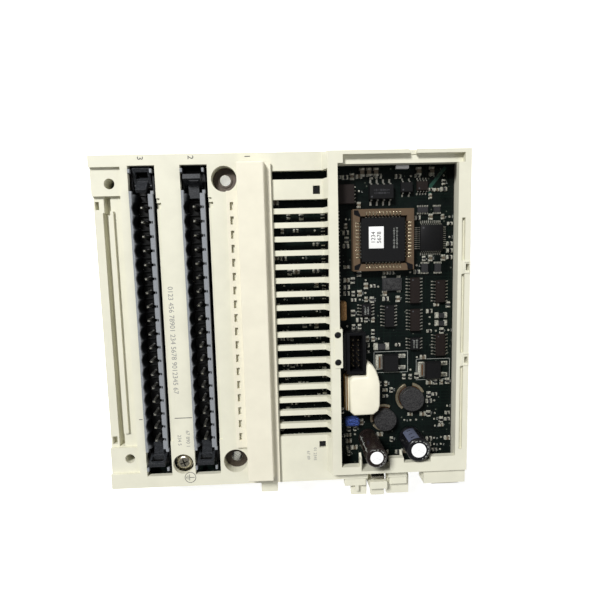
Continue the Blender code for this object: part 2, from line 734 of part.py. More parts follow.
def large_chips():
    """The socketed controller with its label, the flat-pack chip and the brownish corner chip."""
    cx, cy = 37.8, 30.3
    outer = 11.5
    inner = 8.8
    socket = part(
        "plcc_socket",
        (cx, cy, SEAT_Z),
        bricks(((cx - outer, cx + outer), (cy - outer, cy + outer), (SEAT_Z, 33.9))),
        SOCKET_BROWN,
    )
    cut(socket, bricks(((cx - inner, cx + inner), (cy - inner, cy + inner), (SEAT_Z + 1.0, 35.0))))

    def corner(bm):
        verts = brick(bm, (-3.0, 3.0), (-3.0, 3.0), (SEAT_Z - 1.0, 35.0))
        bmesh.ops.rotate(bm, cent=(0, 0, 0), matrix=Matrix.Rotation(math.pi / 4, 3, "Z"), verts=verts)
        bmesh.ops.translate(bm, vec=(cx + outer + 1.8, cy + outer + 1.8, 0.0), verts=verts)

    cut(socket, corner)
    half = 8.3
    part(
        "controller_chip",
        (cx, cy, 31.0),
        bricks(((cx - half, cx + half), (cy - half, cy + half), (SEAT_Z + 1.3, 33.5))),
        BLACK,
    )
    part("chip_label", (35.1, 31.2, 33.8), bricks(((32.3, 37.9), (27.2, 35.3), (33.8, 34.0))), LABEL_WHITE)
    part("interface_chip", (56.9, 30.7, SEAT_Z), bricks(((52.4, 61.4), (25.7, 35.7), (SEAT_Z, 31.7))), BLACK)
    corner_body = ((21.0, 27.3), (43.9, 51.2), (SEAT_Z, 33.0))
    part("corner_chip", (24.2, 47.5, SEAT_Z), bricks(corner_body), SOCKET_BROWN)
    part("oscillator", (41.8, 13.3, SEAT_Z), bricks(((38.0, 45.5), (10.8, 15.7), (SEAT_Z, 31.2))), CHIP_GREY)


def adapter_connector():
    """The shrouded 2 x 6 pin connector that the adapter plugs into."""
    pin_pitch = 2.0
    rows = 6
    connector = part(
        "adapter_connector",
        (26.6, -12.1, SEAT_Z),
        bricks(((22.9, 30.2), (-20.1, -4.1), (SEAT_Z, 37.0))),
        BLACK,
    )
    cut(connector, bricks(((24.1, 29.0), (-19.0, -5.2), (31.2, 38.0))))
    half = 0.25
    pins = []
    for row in range(rows):
        y = -12.1 + (row - (rows - 1) / 2) * pin_pitch
        for x in (25.6, 27.6):
            pins.append(((x - half, x + half), (y - half, y + half), (30.5, 36.0)))
    join(connector, bricks(*pins))


def transformer():
    """The isolating transformer: a brown core and winding under a cream wrap."""
    foot = ((22.4, 34.8), (-35.8, -21.0), (SEAT_Z, 30.9))
    core = part("transformer_core", (29.0, -28.4, SEAT_Z), bricks(foot), AMBER)
    join(core, bricks(((22.4, 23.5), (-35.8, -21.0), (30.5, 34.6))))
    wrapped = ((23.9, 35.5), (-36.2, -20.6), (31.3, 38.0))
    wrap = part("transformer_wrap", (29.7, -28.4, 31.3), bricks(wrapped), TAPE_CREAM)
    bevel(wrap, 1.6, 2)
    join(wrap, bricks(((30.9, 35.3), (-22.6, -15.0), (31.6, 37.6))))


def power_parts():
    """Capacitors, inductors and regulator packages."""

    def can(name, centre, radius, top):
        obj = part(name, (*centre, SEAT_Z), rods((centre, radius, (SEAT_Z, top))), CAN_ALUMINIUM, smooth=True)
        bevel(obj, 0.5, 2)

    can("capacitor_tall", (31.9, -48.4), 3.9, 47.9)
    can("capacitor_wide", (49.0, -48.8), 4.6, 42.4)
    for name, centre, radius in (("inductor_a", (38.4, -40.2), 4.4), ("inductor_b", (49.1, -32.2), 4.7)):
        coil = part(name, (*centre, SEAT_Z), rods((centre, radius, (SEAT_Z, 33.6))), FERRITE, smooth=True)
        bevel(coil, 0.4, 1)
    for name, cx, cy in (("regulator_a", 41.0, -17.7), ("regulator_b", 57.9, -21.2)):
        case = ((cx - 3.1, cx + 3.1), (cy - 3.4, cy + 3.4), (SEAT_Z, 32.0))
        body = part(name, (cx, cy, SEAT_Z), bricks(case), BLACK)
        tab = ((cx - 4.6, cx - 2.9), (cy - 2.7, cy + 2.7), (SEAT_Z, 30.4))
        lead_a = ((cx + 2.9, cx + 5.6), (cy - 2.7, cy - 1.9), (SEAT_Z, 30.3))
        lead_b = ((cx + 2.9, cx + 5.6), (cy + 1.9, cy + 2.7), (SEAT_Z, 30.3))
        join(body, bricks(tab, lead_a, lead_b))


def passive_parts():
    """Resistor networks, resistors, the film capacitor and the surge suppressor."""
    networks = (
        ((53.7, 41.4), (4.6, 3.4)),
        ((59.2, 41.4), (3.1, 3.4)),
        ((54.6, 19.2), (3.1, 4.6)),
        ((59.7, 19.2), (3.1, 4.6)),
    )
    for number, (centre, size) in enumerate(networks, start=1):
        block(f"resistor_network_{number}", centre, size, 30.5, CHIP_GREY)
    block("shunt_resistor", (37.7, -11.3), (5.7, 2.3), 30.3, CHIP_GREY)
    block("resistor_a", (61.4, 0.4), (4.4, 1.8), 30.3, CHIP_GREY)
    block("resistor_b", (61.4, -2.7), (4.4, 1.8), 30.3, CHIP_GREY)
    film = block("film_capacitor", (22.4, 3.8), (2.3, 7.4), 34.4, ORANGE)
    bevel(film, 0.5, 1)
    suppressor = block("surge_suppressor", (25.4, -40.6), (5.8, 3.4), 33.6, BLUE)
    bevel(suppressor, 0.8, 2)


def block(name, centre, size, top, finish):
    """A plain component body on the board."""
    cx, cy = centre
    half_x = size[0] / 2
    half_y = size[1] / 2
    body = ((cx - half_x, cx + half_x), (cy - half_y, cy + half_y), (SEAT_Z, top))
    return part(name, (cx, cy, SEAT_Z), bricks(body), finish)


def status_lights():
    """Clear blocks behind the two light windows."""
    light_z = (SEAT_Z, 35.6)
    part("status_light_upper", (12.8, 48.9, 31.0), bricks(((11.9, 13.7), (47.8, 50.0), light_z)), LENS)
    part("status_light_lower", (13.2, -47.7, 31.0), bricks(((12.4, 14.1), (-48.6, -46.8), light_z)), LENS)


front_cover()
rear_housing()
row1_cover()
terminals()
ground_fixings()
din_latch()
din_latch_spring()
adapter_lock()
circuit_board()
logic_chips()
large_chips()
adapter_connector()
transformer()
power_parts()
passive_parts()
status_lights()
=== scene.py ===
"""Looks of a DIN rail input and output base, seen from its front.

Lengths are millimetres in the module's own frame: X along the long side, Y along the terminal
rows, Z out of the front. They are moved and scaled to world metres when a piece is placed.
"""
import math
import random

import bmesh
import bpy
from mathutils import Matrix, Vector


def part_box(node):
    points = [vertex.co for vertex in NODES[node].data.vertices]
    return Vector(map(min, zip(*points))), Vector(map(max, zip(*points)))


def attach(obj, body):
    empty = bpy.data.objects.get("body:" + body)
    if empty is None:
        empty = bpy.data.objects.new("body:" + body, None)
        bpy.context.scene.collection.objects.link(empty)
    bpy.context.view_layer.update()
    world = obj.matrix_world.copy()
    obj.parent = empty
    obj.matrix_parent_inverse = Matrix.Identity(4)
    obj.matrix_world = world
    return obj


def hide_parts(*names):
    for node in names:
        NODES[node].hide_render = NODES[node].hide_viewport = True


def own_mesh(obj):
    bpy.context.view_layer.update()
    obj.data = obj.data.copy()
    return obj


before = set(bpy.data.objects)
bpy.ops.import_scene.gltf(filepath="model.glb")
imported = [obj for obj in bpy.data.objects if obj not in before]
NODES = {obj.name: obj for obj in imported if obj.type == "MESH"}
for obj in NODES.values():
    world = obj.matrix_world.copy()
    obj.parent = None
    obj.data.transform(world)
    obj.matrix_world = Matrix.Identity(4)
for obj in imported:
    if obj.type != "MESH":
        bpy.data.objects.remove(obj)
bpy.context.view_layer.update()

MM = 0.001
SHIFT_Y = 4.05
TO_WORLD = Matrix.Diagonal((MM, MM, MM, 1.0)) @ Matrix.Translation((0.0, SHIFT_Y, 0.0))

# Levels and the terminal grid of the casing.
PANEL_Z = 36.0
FRAME_Z = 40.0
BOARD_TOP = 29.4
SEAT_Z = 29.7
PITCH = 5.08
WAYS = 18
ROW_MIDDLE = 0.4
WAY_Y = [ROW_MIDDLE + ((WAYS - 1) / 2 - index) * PITCH for index in range(WAYS)]
ROW_X = {1: -11.2, 2: -31.4, 3: -49.8}
PIN_TOP = 38.2
FLANGE_TOP = 37.0
LEVER_PIVOT_Z = 31.9

# Places of the fixings.
GROUND_SCREW = (-40.6, -53.4)
FIXING_HOLES = ((-20.5, 53.4), (-20.5, -53.0))
# Two black pins that fill holes in the plate: their black is painted shade for those holes.
PLATE_SHADE_PINS = ((19.3, -4.2), (19.3, -14.5))

# Edges that turn by more than this many degrees are sharp.
SHARP_ANGLE = 35.0

# Layers of ink on the casing and on the board, and what the small chips and the socket share.
PANEL_INK_Z = (PANEL_Z + 0.005, PANEL_Z + 0.03)
BOARD_INK_Z = (BOARD_TOP - 0.01, BOARD_TOP + 0.03)
SMALL_LEAD_PITCH = 1.27
SOCKET_CONTACTS = 11


# ---------------------------------------------------------------- materials


class Shade:
    """A material under construction: a Principled shader and the nodes that feed it."""

    def __init__(self, name, colour, roughness, metallic=0.0, gloss=0.5):
        self.material = bpy.data.materials.new(name)
        self.material.use_nodes = True
        tree = self.material.node_tree
        self.nodes = tree.nodes
        self.links = tree.links
        self.shader = self.nodes["Principled BSDF"]
        self.shader.inputs["Base Color"].default_value = (*colour, 1.0)
        self.shader.inputs["Roughness"].default_value = roughness
        self.shader.inputs["Metallic"].default_value = metallic
        self.shader.inputs["Specular IOR Level"].default_value = gloss
        self.coords = self.nodes.new("ShaderNodeTexCoord").outputs["Object"]
        self.last_bump = None

    def noise(self, size, detail=3.0, rough=0.6, stretch=(1.0, 1.0, 1.0)):
        """Noise whose features are about size millimetres across."""
        mapping = self.nodes.new("ShaderNodeMapping")
        mapping.inputs["Scale"].default_value = stretch
        self.links.new(self.coords, mapping.inputs["Vector"])
        node = self.nodes.new("ShaderNodeTexNoise")
        node.inputs["Scale"].default_value = 1.0 / (size * MM)
        node.inputs["Detail"].default_value = detail
        node.inputs["Roughness"].default_value = rough
        self.links.new(mapping.outputs["Vector"], node.inputs["Vector"])
        return node.outputs["Fac"]

    def feed(self, socket, value):
        """Gives a socket a plain number, a plain colour or another socket's output."""
        if isinstance(value, (int, float)):
            socket.default_value = value
        elif isinstance(value, tuple):
            socket.default_value = (*value, 1.0)
        else:
            self.links.new(value, socket)

    def math(self, operation, first, second=None):
        """A math node on sockets or plain numbers."""
        node = self.nodes.new("ShaderNodeMath")
        node.operation = operation
        for socket, value in zip(node.inputs, (first, second)):
            if value is not None:
                self.feed(socket, value)
        return node.outputs[0]

    def ramp(self, source, *stops):
        """A colour ramp. Each stop is (position, colour)."""
        node = self.nodes.new("ShaderNodeValToRGB")
        elements = node.color_ramp.elements
        while len(elements) < len(stops):
            elements.new(0.5)
        for element, (position, colour) in zip(elements, stops):
            element.position = position
            element.color = (*colour, 1.0)
        self.links.new(source, node.inputs["Fac"])
        return node.outputs["Color"]

    def scale_range(self, source, low, high, new_low, new_high):
        """Maps a value from one range to another, clamped."""
        node = self.nodes.new("ShaderNodeMapRange")
        limits = (("From Min", low), ("From Max", high), ("To Min", new_low), ("To Max", new_high))
        for name, value in (("Value", source), *limits):
            self.feed(node.inputs[name], value)
        return node.outputs["Result"]

    def mix(self, factor, first, second, blend="MIX"):
        """Mixes two colours, each a socket or a plain colour."""
        node = self.nodes.new("ShaderNodeMix")
        node.data_type = "RGBA"
        node.blend_type = blend
        for name, value in (("Factor", factor), ("A", first), ("B", second)):
            self.feed(node.inputs[name], value)
        return node.outputs["Result"]

    def colour(self, source):
        """Drives the base colour."""
        self.links.new(source, self.shader.inputs["Base Color"])

    def roughness(self, source):
        """Drives the roughness."""
        self.links.new(source, self.shader.inputs["Roughness"])

    def bump(self, height, distance, strength=1.0):
        """Adds relief of about distance millimetres. Bumps add up."""
        node = self.nodes.new("ShaderNodeBump")
        node.inputs["Strength"].default_value = strength
        node.inputs["Distance"].default_value = distance * MM
        self.links.new(height, node.inputs["Height"])
        if self.last_bump is not None:
            self.links.new(self.last_bump, node.inputs["Normal"])
        self.last_bump = node.outputs["Normal"]
        self.links.new(self.last_bump, self.shader.inputs["Normal"])

    def axis(self, name):
        """One coordinate of the surface point, in metres."""
        node = self.nodes.new("ShaderNodeSeparateXYZ")
        self.links.new(self.coords, node.inputs["Vector"])
        return node.outputs[name]


def moulded_plastic(name, colour, roughness, grain=0.25, relief=0.02, mottle=0.05, gloss=0.35):
    """Moulded plastic: fine spark-eroded grain, faint mottling and an uneven sheen."""
    shade = Shade(name, colour, roughness, gloss=gloss)
    dark = tuple(value * (1.0 - mottle) for value in colour)
    light = tuple(min(1.0, value * (1.0 + mottle)) for value in colour)
    shade.colour(shade.ramp(shade.noise(9.0, 4.0), (0.35, dark), (0.65, light)))
    shade.roughness(shade.scale_range(shade.noise(1.6, 3.0), 0.3, 0.7, roughness - 0.06, roughness + 0.08))
    shade.bump(shade.noise(grain, 2.0), relief)
    return shade.material


def header_plastic():
    """Grey terminal plastic with a painted highlight on its top edges and painted shade lower down, as a
    colour ramp on height.
    """
    shade = Shade("header_plastic", (0.1, 0.1, 0.1), 0.38, gloss=0.25)
    height = shade.scale_range(shade.axis("Z"), (FLANGE_TOP - 5.0) * MM, FLANGE_TOP * MM, 0.0, 1.0)
    # Painted light: depth and wall are painted shade low on the header, edge is a painted highlight along
    # its top.
    depth, wall, edge = (0.003, 0.003, 0.003), (0.012, 0.013, 0.015), (0.27, 0.285, 0.30)
    body = shade.ramp(height, (0.0, depth), (0.7, wall), (0.97, edge))
    speckle = shade.ramp(shade.noise(0.5, 5.0, 0.75), (0.35, (0.78, 0.78, 0.8)), (0.7, (1.1, 1.1, 1.1)))
    shade.colour(shade.mix(1.0, body, speckle, "MULTIPLY"))
    shade.bump(shade.noise(0.3, 3.0), 0.02)
    return shade.material


def lever_plastic():
    """Dark grey glass-filled plastic with pale fibre specks."""
    shade = Shade("lever_plastic", (0.05, 0.055, 0.062), 0.42, gloss=0.3)
    specks = shade.noise(0.35, 4.0, 0.7)
    dark, grey, fibre = (0.010, 0.011, 0.013), (0.040, 0.043, 0.048), (0.13, 0.14, 0.15)
    shade.colour(shade.ramp(specks, (0.42, dark), (0.62, grey), (0.74, fibre)))
    shade.bump(specks, 0.03)
    return shade.material


def metal(name, colour, roughness, grain=0.4, stretch=(1.0, 1.0, 1.0)):
    """Bare or plated metal with fine wear in its colour and sheen."""
    shade = Shade(name, colour, roughness, 1.0)
    wear = shade.noise(grain, 4.0, 0.65, stretch)
    dull = tuple(value * 0.72 for value in colour)
    shade.colour(shade.ramp(wear, (0.35, dull), (0.6, colour)))
    shade.roughness(shade.scale_range(wear, 0.3, 0.7, max(0.08, roughness - 0.1), roughness + 0.12))
    shade.bump(wear, 0.012)
    return shade.material


def solder_material():
    """Reflowed solder and tinned pads: bright, lumpy and slightly dull in places."""
    shade = Shade("solder", (0.4, 0.39, 0.33), 0.35, 0.2)
    lumps = shade.noise(0.6, 2.0)
    shade.colour(shade.ramp(lumps, (0.35, (0.16, 0.16, 0.13)), (0.62, (0.55, 0.54, 0.46))))
    shade.bump(lumps, 0.05)
    return shade.material


def board_material():
    """Dark solder mask over copper: raised tracks on a grid, vias and a slight weave."""
    shade = Shade("solder_mask", (0.004, 0.006, 0.005), 0.35, gloss=0.12)
    track_pitch = 1.27 * MM
    track_run = 11.0 * MM
    bare_share = 0.52
    half_track = 0.13
    via_spacing = 3.1 * MM
    via_radius = 0.10
    masks = []
    for along, across, seed in (("X", "Y", 3.0), ("Y", "X", 8.0)):
        lane = shade.math("DIVIDE", shade.axis(across), track_pitch)
        stretch = shade.math("DIVIDE", shade.axis(along), track_run)
        key = shade.nodes.new("ShaderNodeCombineXYZ")
        cell = (shade.math("FLOOR", lane), shade.math("FLOOR", stretch), seed)
        for socket, value in zip(key.inputs, cell):
            shade.feed(socket, value)
        dice = shade.nodes.new("ShaderNodeTexWhiteNoise")
        dice.noise_dimensions = "3D"
        shade.links.new(key.outputs["Vector"], dice.inputs["Vector"])
        chosen = shade.math("GREATER_THAN", dice.outputs["Value"], bare_share)
        off_centre = shade.math("ABSOLUTE", shade.math("SUBTRACT", shade.math("FRACT", lane), 0.5))
        masks.append(shade.math("MULTIPLY", chosen, shade.math("LESS_THAN", off_centre, half_track)))
    tracks = shade.math("MAXIMUM", *masks)
    cells = shade.nodes.new("ShaderNodeTexVoronoi")
    cells.inputs["Scale"].default_value = 1.0 / via_spacing
    cells.inputs["Randomness"].default_value = 0.8
    shade.links.new(shade.coords, cells.inputs["Vector"])
    via = shade.math("LESS_THAN", cells.outputs["Distance"], via_radius)
    mask_dark, mask_light = (0.0028, 0.0045, 0.0042), (0.005, 0.0085, 0.0075)
    mask_colour = shade.ramp(shade.noise(14.0, 3.0), (0.35, mask_dark), (0.65, mask_light))
    copper = shade.mix(tracks, mask_colour, (0.005, 0.010, 0.008))
    shade.colour(shade.mix(via, copper, (0.09, 0.10, 0.08)))
    shade.roughness(shade.scale_range(shade.noise(3.0), 0.3, 0.7, 0.22, 0.42))
    shade.bump(tracks, 0.05)
    shade.bump(shade.noise(0.5, 2.0), 0.01)
    return shade.material


def epoxy(name, colour, roughness=0.45):
    """Moulded epoxy of a chip: nearly black with a fine sandy grain."""
    shade = Shade(name, colour, roughness, gloss=0.15)
    grain = shade.noise(0.22, 3.0, 0.7)
    light = tuple(value * 1.5 + 0.003 for value in colour)
    shade.colour(shade.ramp(grain, (0.35, colour), (0.7, light)))
    shade.bump(grain, 0.02)
    return shade.material


def speckled(name, colour, spots, roughness=0.5, size=0.5, cover=0.6):
    """A coating with spots of a second colour."""
    shade = Shade(name, colour, roughness, gloss=0.25)
    grain = shade.noise(size, 4.0, 0.7)
    shade.colour(shade.ramp(grain, (cover - 0.12, colour), (cover + 0.06, spots)))
    shade.bump(grain, 0.05)
    return shade.material


CREAM = moulded_plastic("cream_plastic", (0.70, 0.685, 0.56), 0.5, mottle=0.03)
COVER_CREAM = moulded_plastic("cover_plastic", (0.76, 0.725, 0.59), 0.45, grain=0.4, mottle=0.03)
HEADER = header_plastic()
LEVER = lever_plastic()
BOARD = board_material()
SOLDER = solder_material()
TIN = metal("tinned_lead", (0.62, 0.61, 0.54), 0.35)
NICKEL = metal("nickel", (0.70, 0.65, 0.52), 0.25)
STEEL = metal("spring_steel", (0.50, 0.50, 0.52), 0.3, stretch=(8.0, 1.0, 1.0))
GOLD = metal("gold_contact", (0.86, 0.74, 0.50), 0.25)
ALUMINIUM = metal("can_aluminium", (0.93, 0.93, 0.93), 0.32, grain=1.2, stretch=(1.0, 10.0, 1.0))
COPPER = metal("enamelled_copper", (0.45, 0.20, 0.07), 0.3, grain=0.25, stretch=(1.0, 1.0, 12.0))
CHIP = epoxy("black_plastic", (0.0055, 0.0055, 0.006))
CHIP_BROWN = epoxy("brown_epoxy", (0.012, 0.0085, 0.0075))
SHROUD = moulded_plastic("connector_plastic", (0.005, 0.005, 0.006), 0.35, mottle=0.2, gloss=0.15)
SOCKET = moulded_plastic("socket_plastic", (0.105, 0.070, 0.042), 0.5, mottle=0.12, gloss=0.2)
PRINT = epoxy("printed_ink", (0.05, 0.05, 0.053), 0.6)
FAINT_PRINT = epoxy("faint_ink", (0.22, 0.22, 0.21), 0.6)
SILK = epoxy("silkscreen_ink", (0.26, 0.27, 0.25), 0.6)
CHIP_INK = epoxy("chip_ink", (0.05, 0.05, 0.055), 0.6)
TERMINAL = metal("plated_terminal", (0.62, 0.54, 0.38), 0.4)
SLEEVE_METAL = metal("polished_sleeve", (0.97, 0.97, 0.95), 0.14)
BUSH = metal("fixing_bush", (0.12, 0.10, 0.085), 0.45)
PAPER = moulded_plastic("label_paper", (0.88, 0.88, 0.86), 0.75, grain=0.1, relief=0.01, mottle=0.02)
FERRITE = speckled("ferrite", (0.009, 0.009, 0.010), (0.045, 0.044, 0.044), 0.55, 0.5, 0.52)
CERAMIC = speckled("ceramic_body", (0.022, 0.022, 0.024), (0.055, 0.055, 0.055), 0.4, 0.25)
CERAMIC_TAN = speckled("capacitor_ceramic", (0.10, 0.08, 0.055), (0.20, 0.165, 0.12), 0.4, 0.25)
AMBER = speckled("winding_tape", (0.24, 0.12, 0.035), (0.50, 0.33, 0.14), 0.3, 0.8)
TAPE = moulded_plastic("insulating_tape", (0.80, 0.765, 0.62), 0.38, grain=1.2, relief=0.03, mottle=0.03)
ORANGE = speckled("capacitor_coating", (0.16, 0.085, 0.03), (0.30, 0.18, 0.08), 0.35, 0.8)
BLUE = speckled("suppressor_coating", (0.006, 0.010, 0.038), (0.06, 0.11, 0.40), 0.35, 0.42, 0.55)
SLEEVE_BROWN = moulded_plastic("sleeve_brown", (0.014, 0.009, 0.008), 0.28, 1.5, 0.03, 0.3)
SLEEVE_GREY = moulded_plastic("sleeve_grey", (0.007, 0.007, 0.009), 0.28, 1.5, 0.03, 0.3)
STRIPE = moulded_plastic("sleeve_stripe", (0.12, 0.135, 0.20), 0.35, mottle=0.3, grain=1.2)
LENS = moulded_plastic("light_pipe", (0.012, 0.012, 0.013), 0.15, mottle=0.05)
WHITE = moulded_plastic("white_plastic", (0.92, 0.92, 0.92), 0.35, mottle=0.01)
# White plastic for the capacitor lids: its white is a painted reflection standing in for bright aluminium.
LID_PAINTED_REFLECTION = moulded_plastic("lid_painted_reflection", (0.97, 0.97, 0.97), 0.3, grain=1.4, relief=0.01, mottle=0.01)


# ---------------------------------------------------------------- mesh tools


class Piece:
    """One object under construction, drawn in module millimetres with a material for each part."""

    def __init__(self, name, material):
        self.name = name
        self.bm = bmesh.new()
        self.materials = []
        self.turn = Matrix.Identity(4)
        self.use(material)

    def use(self, material):
        """Draws what follows in this material."""
        if material not in self.materials:
            self.materials.append(material)
        self.index = self.materials.index(material)
        return self

    def at(self, turn):
        """Draws what follows moved by this matrix."""
        self.turn = turn
        return self

    def loft(self, rings):
        """A closed solid through rings of points, capped at both ends."""
        loops = [[self.bm.verts.new(self.turn @ Vector(point)) for point in ring] for ring in rings]
        count = len(loops[0])
        faces = []
        for lower, upper in zip(loops, loops[1:]):
            for i in range(count):
                j = (i + 1) % count
                faces.append(self.bm.faces.new((lower[i], lower[j], upper[j], upper[i])))
        faces.append(self.bm.faces.new(list(reversed(loops[0]))))
        faces.append(self.bm.faces.new(loops[-1]))
        for face in faces:
            face.material_index = self.index
        return self

    def layers(self, x, y, levels):
        """Stacked rectangles between two X and two Y values. Each level is (z, inset)."""
        rings = []
        for z, inset in levels:
            x0, x1 = min(x) + inset, max(x) - inset
            y0, y1 = min(y) + inset, max(y) - inset
            rings.append([(x0, y0, z), (x1, y0, z), (x1, y1, z), (x0, y1, z)])
        return self.loft(rings)

    def box(self, x, y, z, edge=0.0):
        """A box, with its upright and top edges softened by edge."""
        bottom, top = min(z), max(z)
        if not edge:
            return self.layers(x, y, ((bottom, 0.0), (top, 0.0)))
        rings = []
        for level, inset in ((bottom, 0.0), (top - edge, 0.0), (top - 0.3 * edge, 0.3 * edge), (top, edge)):
            rings.append(rounded_outline(x, y, edge, level, inset))
        return self.loft(rings)

    def turned(self, centre, levels, segments=32):
        """A turned shape about a vertical axis. Each level is (z, radius)."""
        rings = []
        for z, radius in levels:
            rings.append(circle(centre, radius, z, segments))
        return self.loft(rings)

    def prism(self, outline, span, axis="Z"):
        """Extrudes an outline of point pairs along an axis, between two values."""
        rings = []
        for value in span:
            if axis == "Z":
                rings.append([(a, b, value) for a, b in outline])
            elif axis == "Y":
                rings.append([(a, value, b) for a, b in outline])
            else:
                rings.append([(value, a, b) for a, b in outline])
        return self.loft(rings)

    def strip(self, points, thickness, span, axis="Y"):
        """A bent strip of sheet: a path of point pairs, thickened and extruded along an axis."""
        return self.prism(thick_path(points, thickness), span, axis)

    def ring(self, centre, inner, outer, z, arc, segments):
        """Part of a flat ring, between two angles in degrees."""
        start, end = (math.radians(value) for value in arc)
        steps = [start + (end - start) * i / segments for i in range(segments + 1)]
        cx, cy = centre
        outline = [(cx + outer * math.cos(t), cy + outer * math.sin(t)) for t in steps]
        outline += [(cx + inner * math.cos(t), cy + inner * math.sin(t)) for t in reversed(steps)]
        return self.prism(outline, z)

    def tube(self, centre, inner, outer, z, segments=40):
        """A closed ring with a rectangular section."""
        low, high = z
        loops = []
        for radius, level in ((outer, low), (outer, high), (inner, high), (inner, low)):
            points = circle(centre, radius, level, segments)
            loops.append([self.bm.verts.new(self.turn @ Vector(point)) for point in points])
        for loop, following in zip(loops, loops[1:] + loops[:1]):
            for i in range(segments):
                j = (i + 1) % segments
                face = self.bm.faces.new((loop[i], loop[j], following[j], following[i]))
                face.material_index = self.index
        return self

    def place(self, body="base", stands_for=(), slot=None, bevel=0.0, smooth_angle=SHARP_ANGLE):
        """Makes the object, in world metres, and lets it ride on a body."""
        self.bm.transform(TO_WORLD)
        bmesh.ops.recalc_face_normals(self.bm, faces=self.bm.faces)
        mesh = bpy.data.meshes.new(self.name)
        self.bm.to_mesh(mesh)
        self.bm.free()
        for material in self.materials:
            mesh.materials.append(material)
        obj = bpy.data.objects.new(self.name, mesh)
        bpy.context.scene.collection.objects.link(obj)
        mesh.shade_smooth()
        mesh.set_sharp_from_angle(angle=math.radians(smooth_angle))
        if bevel:
            soften(obj, bevel, 1)
        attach(obj, body)
        if stands_for:
            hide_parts(*stands_for)
        return obj


def circle(centre, radius, z, segments):
    """Points on a level circle."""
    cx, cy = centre
    angles = [2 * math.pi * i / segments for i in range(segments)]
    return [(cx + radius * math.cos(t), cy + radius * math.sin(t), z) for t in angles]


def rounded_outline(x, y, radius, z, inset=0.0):
    """A level rectangle with rounded corners."""
    x0, x1 = min(x) + inset, max(x) - inset
    y0, y1 = min(y) + inset, max(y) - inset
    steps = 3
    corner = max(0.02, min(radius, (x1 - x0) / 2.2, (y1 - y0) / 2.2))
    right, left = x1 - corner, x0 + corner
    upper, lower = y1 - corner, y0 + corner
    points = []
    for quarter, (cx, cy) in enumerate(((right, upper), (left, upper), (left, lower), (right, lower))):
        for step in range(steps + 1):
            angle = math.pi / 2 * (quarter + step / steps)
            points.append((cx + corner * math.cos(angle), cy + corner * math.sin(angle), z))
    return points


def thick_path(points, thickness):
    """The outline of a path of point pairs given a thickness."""
    path = [Vector(point) for point in points]
    left = []
    right = []
    for i, point in enumerate(path):
        before = (point - path[i - 1]).normalized() if i else (path[1] - point).normalized()
        after = (path[i + 1] - point).normalized() if i + 1 < len(path) else before
        normal = Vector((-(before.y + after.y), before.x + after.x)).normalized()
        reach = thickness / 2 / max(0.4, normal.dot(Vector((-before.y, before.x))))
        left.append(tuple(point + normal * reach))
        right.append(tuple(point - normal * reach))
    return left + right[::-1]


def soften(obj, width, segments=2):
    """Rounds an object's sharp edges and evens its shading."""
    modifier = obj.modifiers.new("edge_rounding", "BEVEL")
    modifier.width = width * MM
    modifier.segments = segments
    modifier.limit_method = "ANGLE"
    modifier.angle_limit = math.radians(SHARP_ANGLE)
    modifier.use_clamp_overlap = True
    even = obj.modifiers.new("even_shading", "WEIGHTED_NORMAL")
    even.keep_sharp = True


def dress(node, material, bevel=0.15):
    """Shows a CAD node as it is, in a new material and with rounded edges."""
    obj = NODES[node]
    obj.data.materials.clear()
    obj.data.materials.append(material)
    weld = obj.modifiers.new("joined_corners", "WELD")
    weld.merge_threshold = 0.002 * MM
    if bevel:
        soften(obj, bevel)
    return obj


def node_box(node):
    """The X, Y and Z spans of a CAD node in module millimetres."""
    low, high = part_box(node)
    low = TO_WORLD.inverted() @ low
    high = TO_WORLD.inverted() @ high
    return (low.x, high.x), (low.y, high.y), (low.z, high.z)


def middle(span):
    """The middle of a span."""
    return (span[0] + span[1]) / 2


def about(value, half):
    """The span that reaches half to both sides of a value."""
    return value - half, value + half


def placed(x, y, degrees=0.0):
    """A matrix that moves a drawing to (x, y) and turns it about Z."""
    return Matrix.Translation((x, y, 0.0)) @ Matrix.Rotation(math.radians(degrees), 4, "Z")


# ---------------------------------------------------------------- casing


def casing():
    """The moulded shells, the cover over row 1, the lock tongue and the rail latch."""
    dress("front_cover", CREAM, 0.22)
    dress("rear_housing", CREAM, 0.3)
    dress("row1_cover", COVER_CREAM, 0.3)
    dress("adapter_lock", CREAM, 0.25)
    dress("adapter_ground_contact", NICKEL, 0.1)
    dress("din_latch", LEVER, 0.25)
    spring = dress("din_latch_spring", STEEL, 0.0)
    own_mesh(spring)


def capacitor_bay_walls():
    """Sloping webs beside the two capacitors."""
    webs = Piece("bay_webs", CREAM)
    half_thickness = 0.5
    for x, tip_y in ((28.2, -53.0), (44.4, -52.6)):
        outline = ((tip_y, 33.0), (-58.4, 39.8), (-58.4, 33.0))
        webs.prism(outline, about(x, half_thickness), "X")
    webs.place(bevel=0.15)


def printed_text(name, text, spot, size, ink, degrees=-90.0):
    """Flat printed characters centred on a spot. By default they read along -Y."""
    curve = bpy.data.curves.new(name, "FONT")
    curve.body = text
    curve.size = size * MM
    curve.extrude = 0.01 * MM
    curve.align_x = "CENTER"
    curve.align_y = "CENTER"
    curve.materials.append(ink)
    obj = bpy.data.objects.new(name, curve)
    turn = Matrix.Rotation(math.radians(degrees), 4, "Z")
    obj.matrix_world = Matrix.Translation(TO_WORLD @ Vector(spot)) @ turn
    bpy.context.scene.collection.objects.link(obj)
    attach(obj, "base")


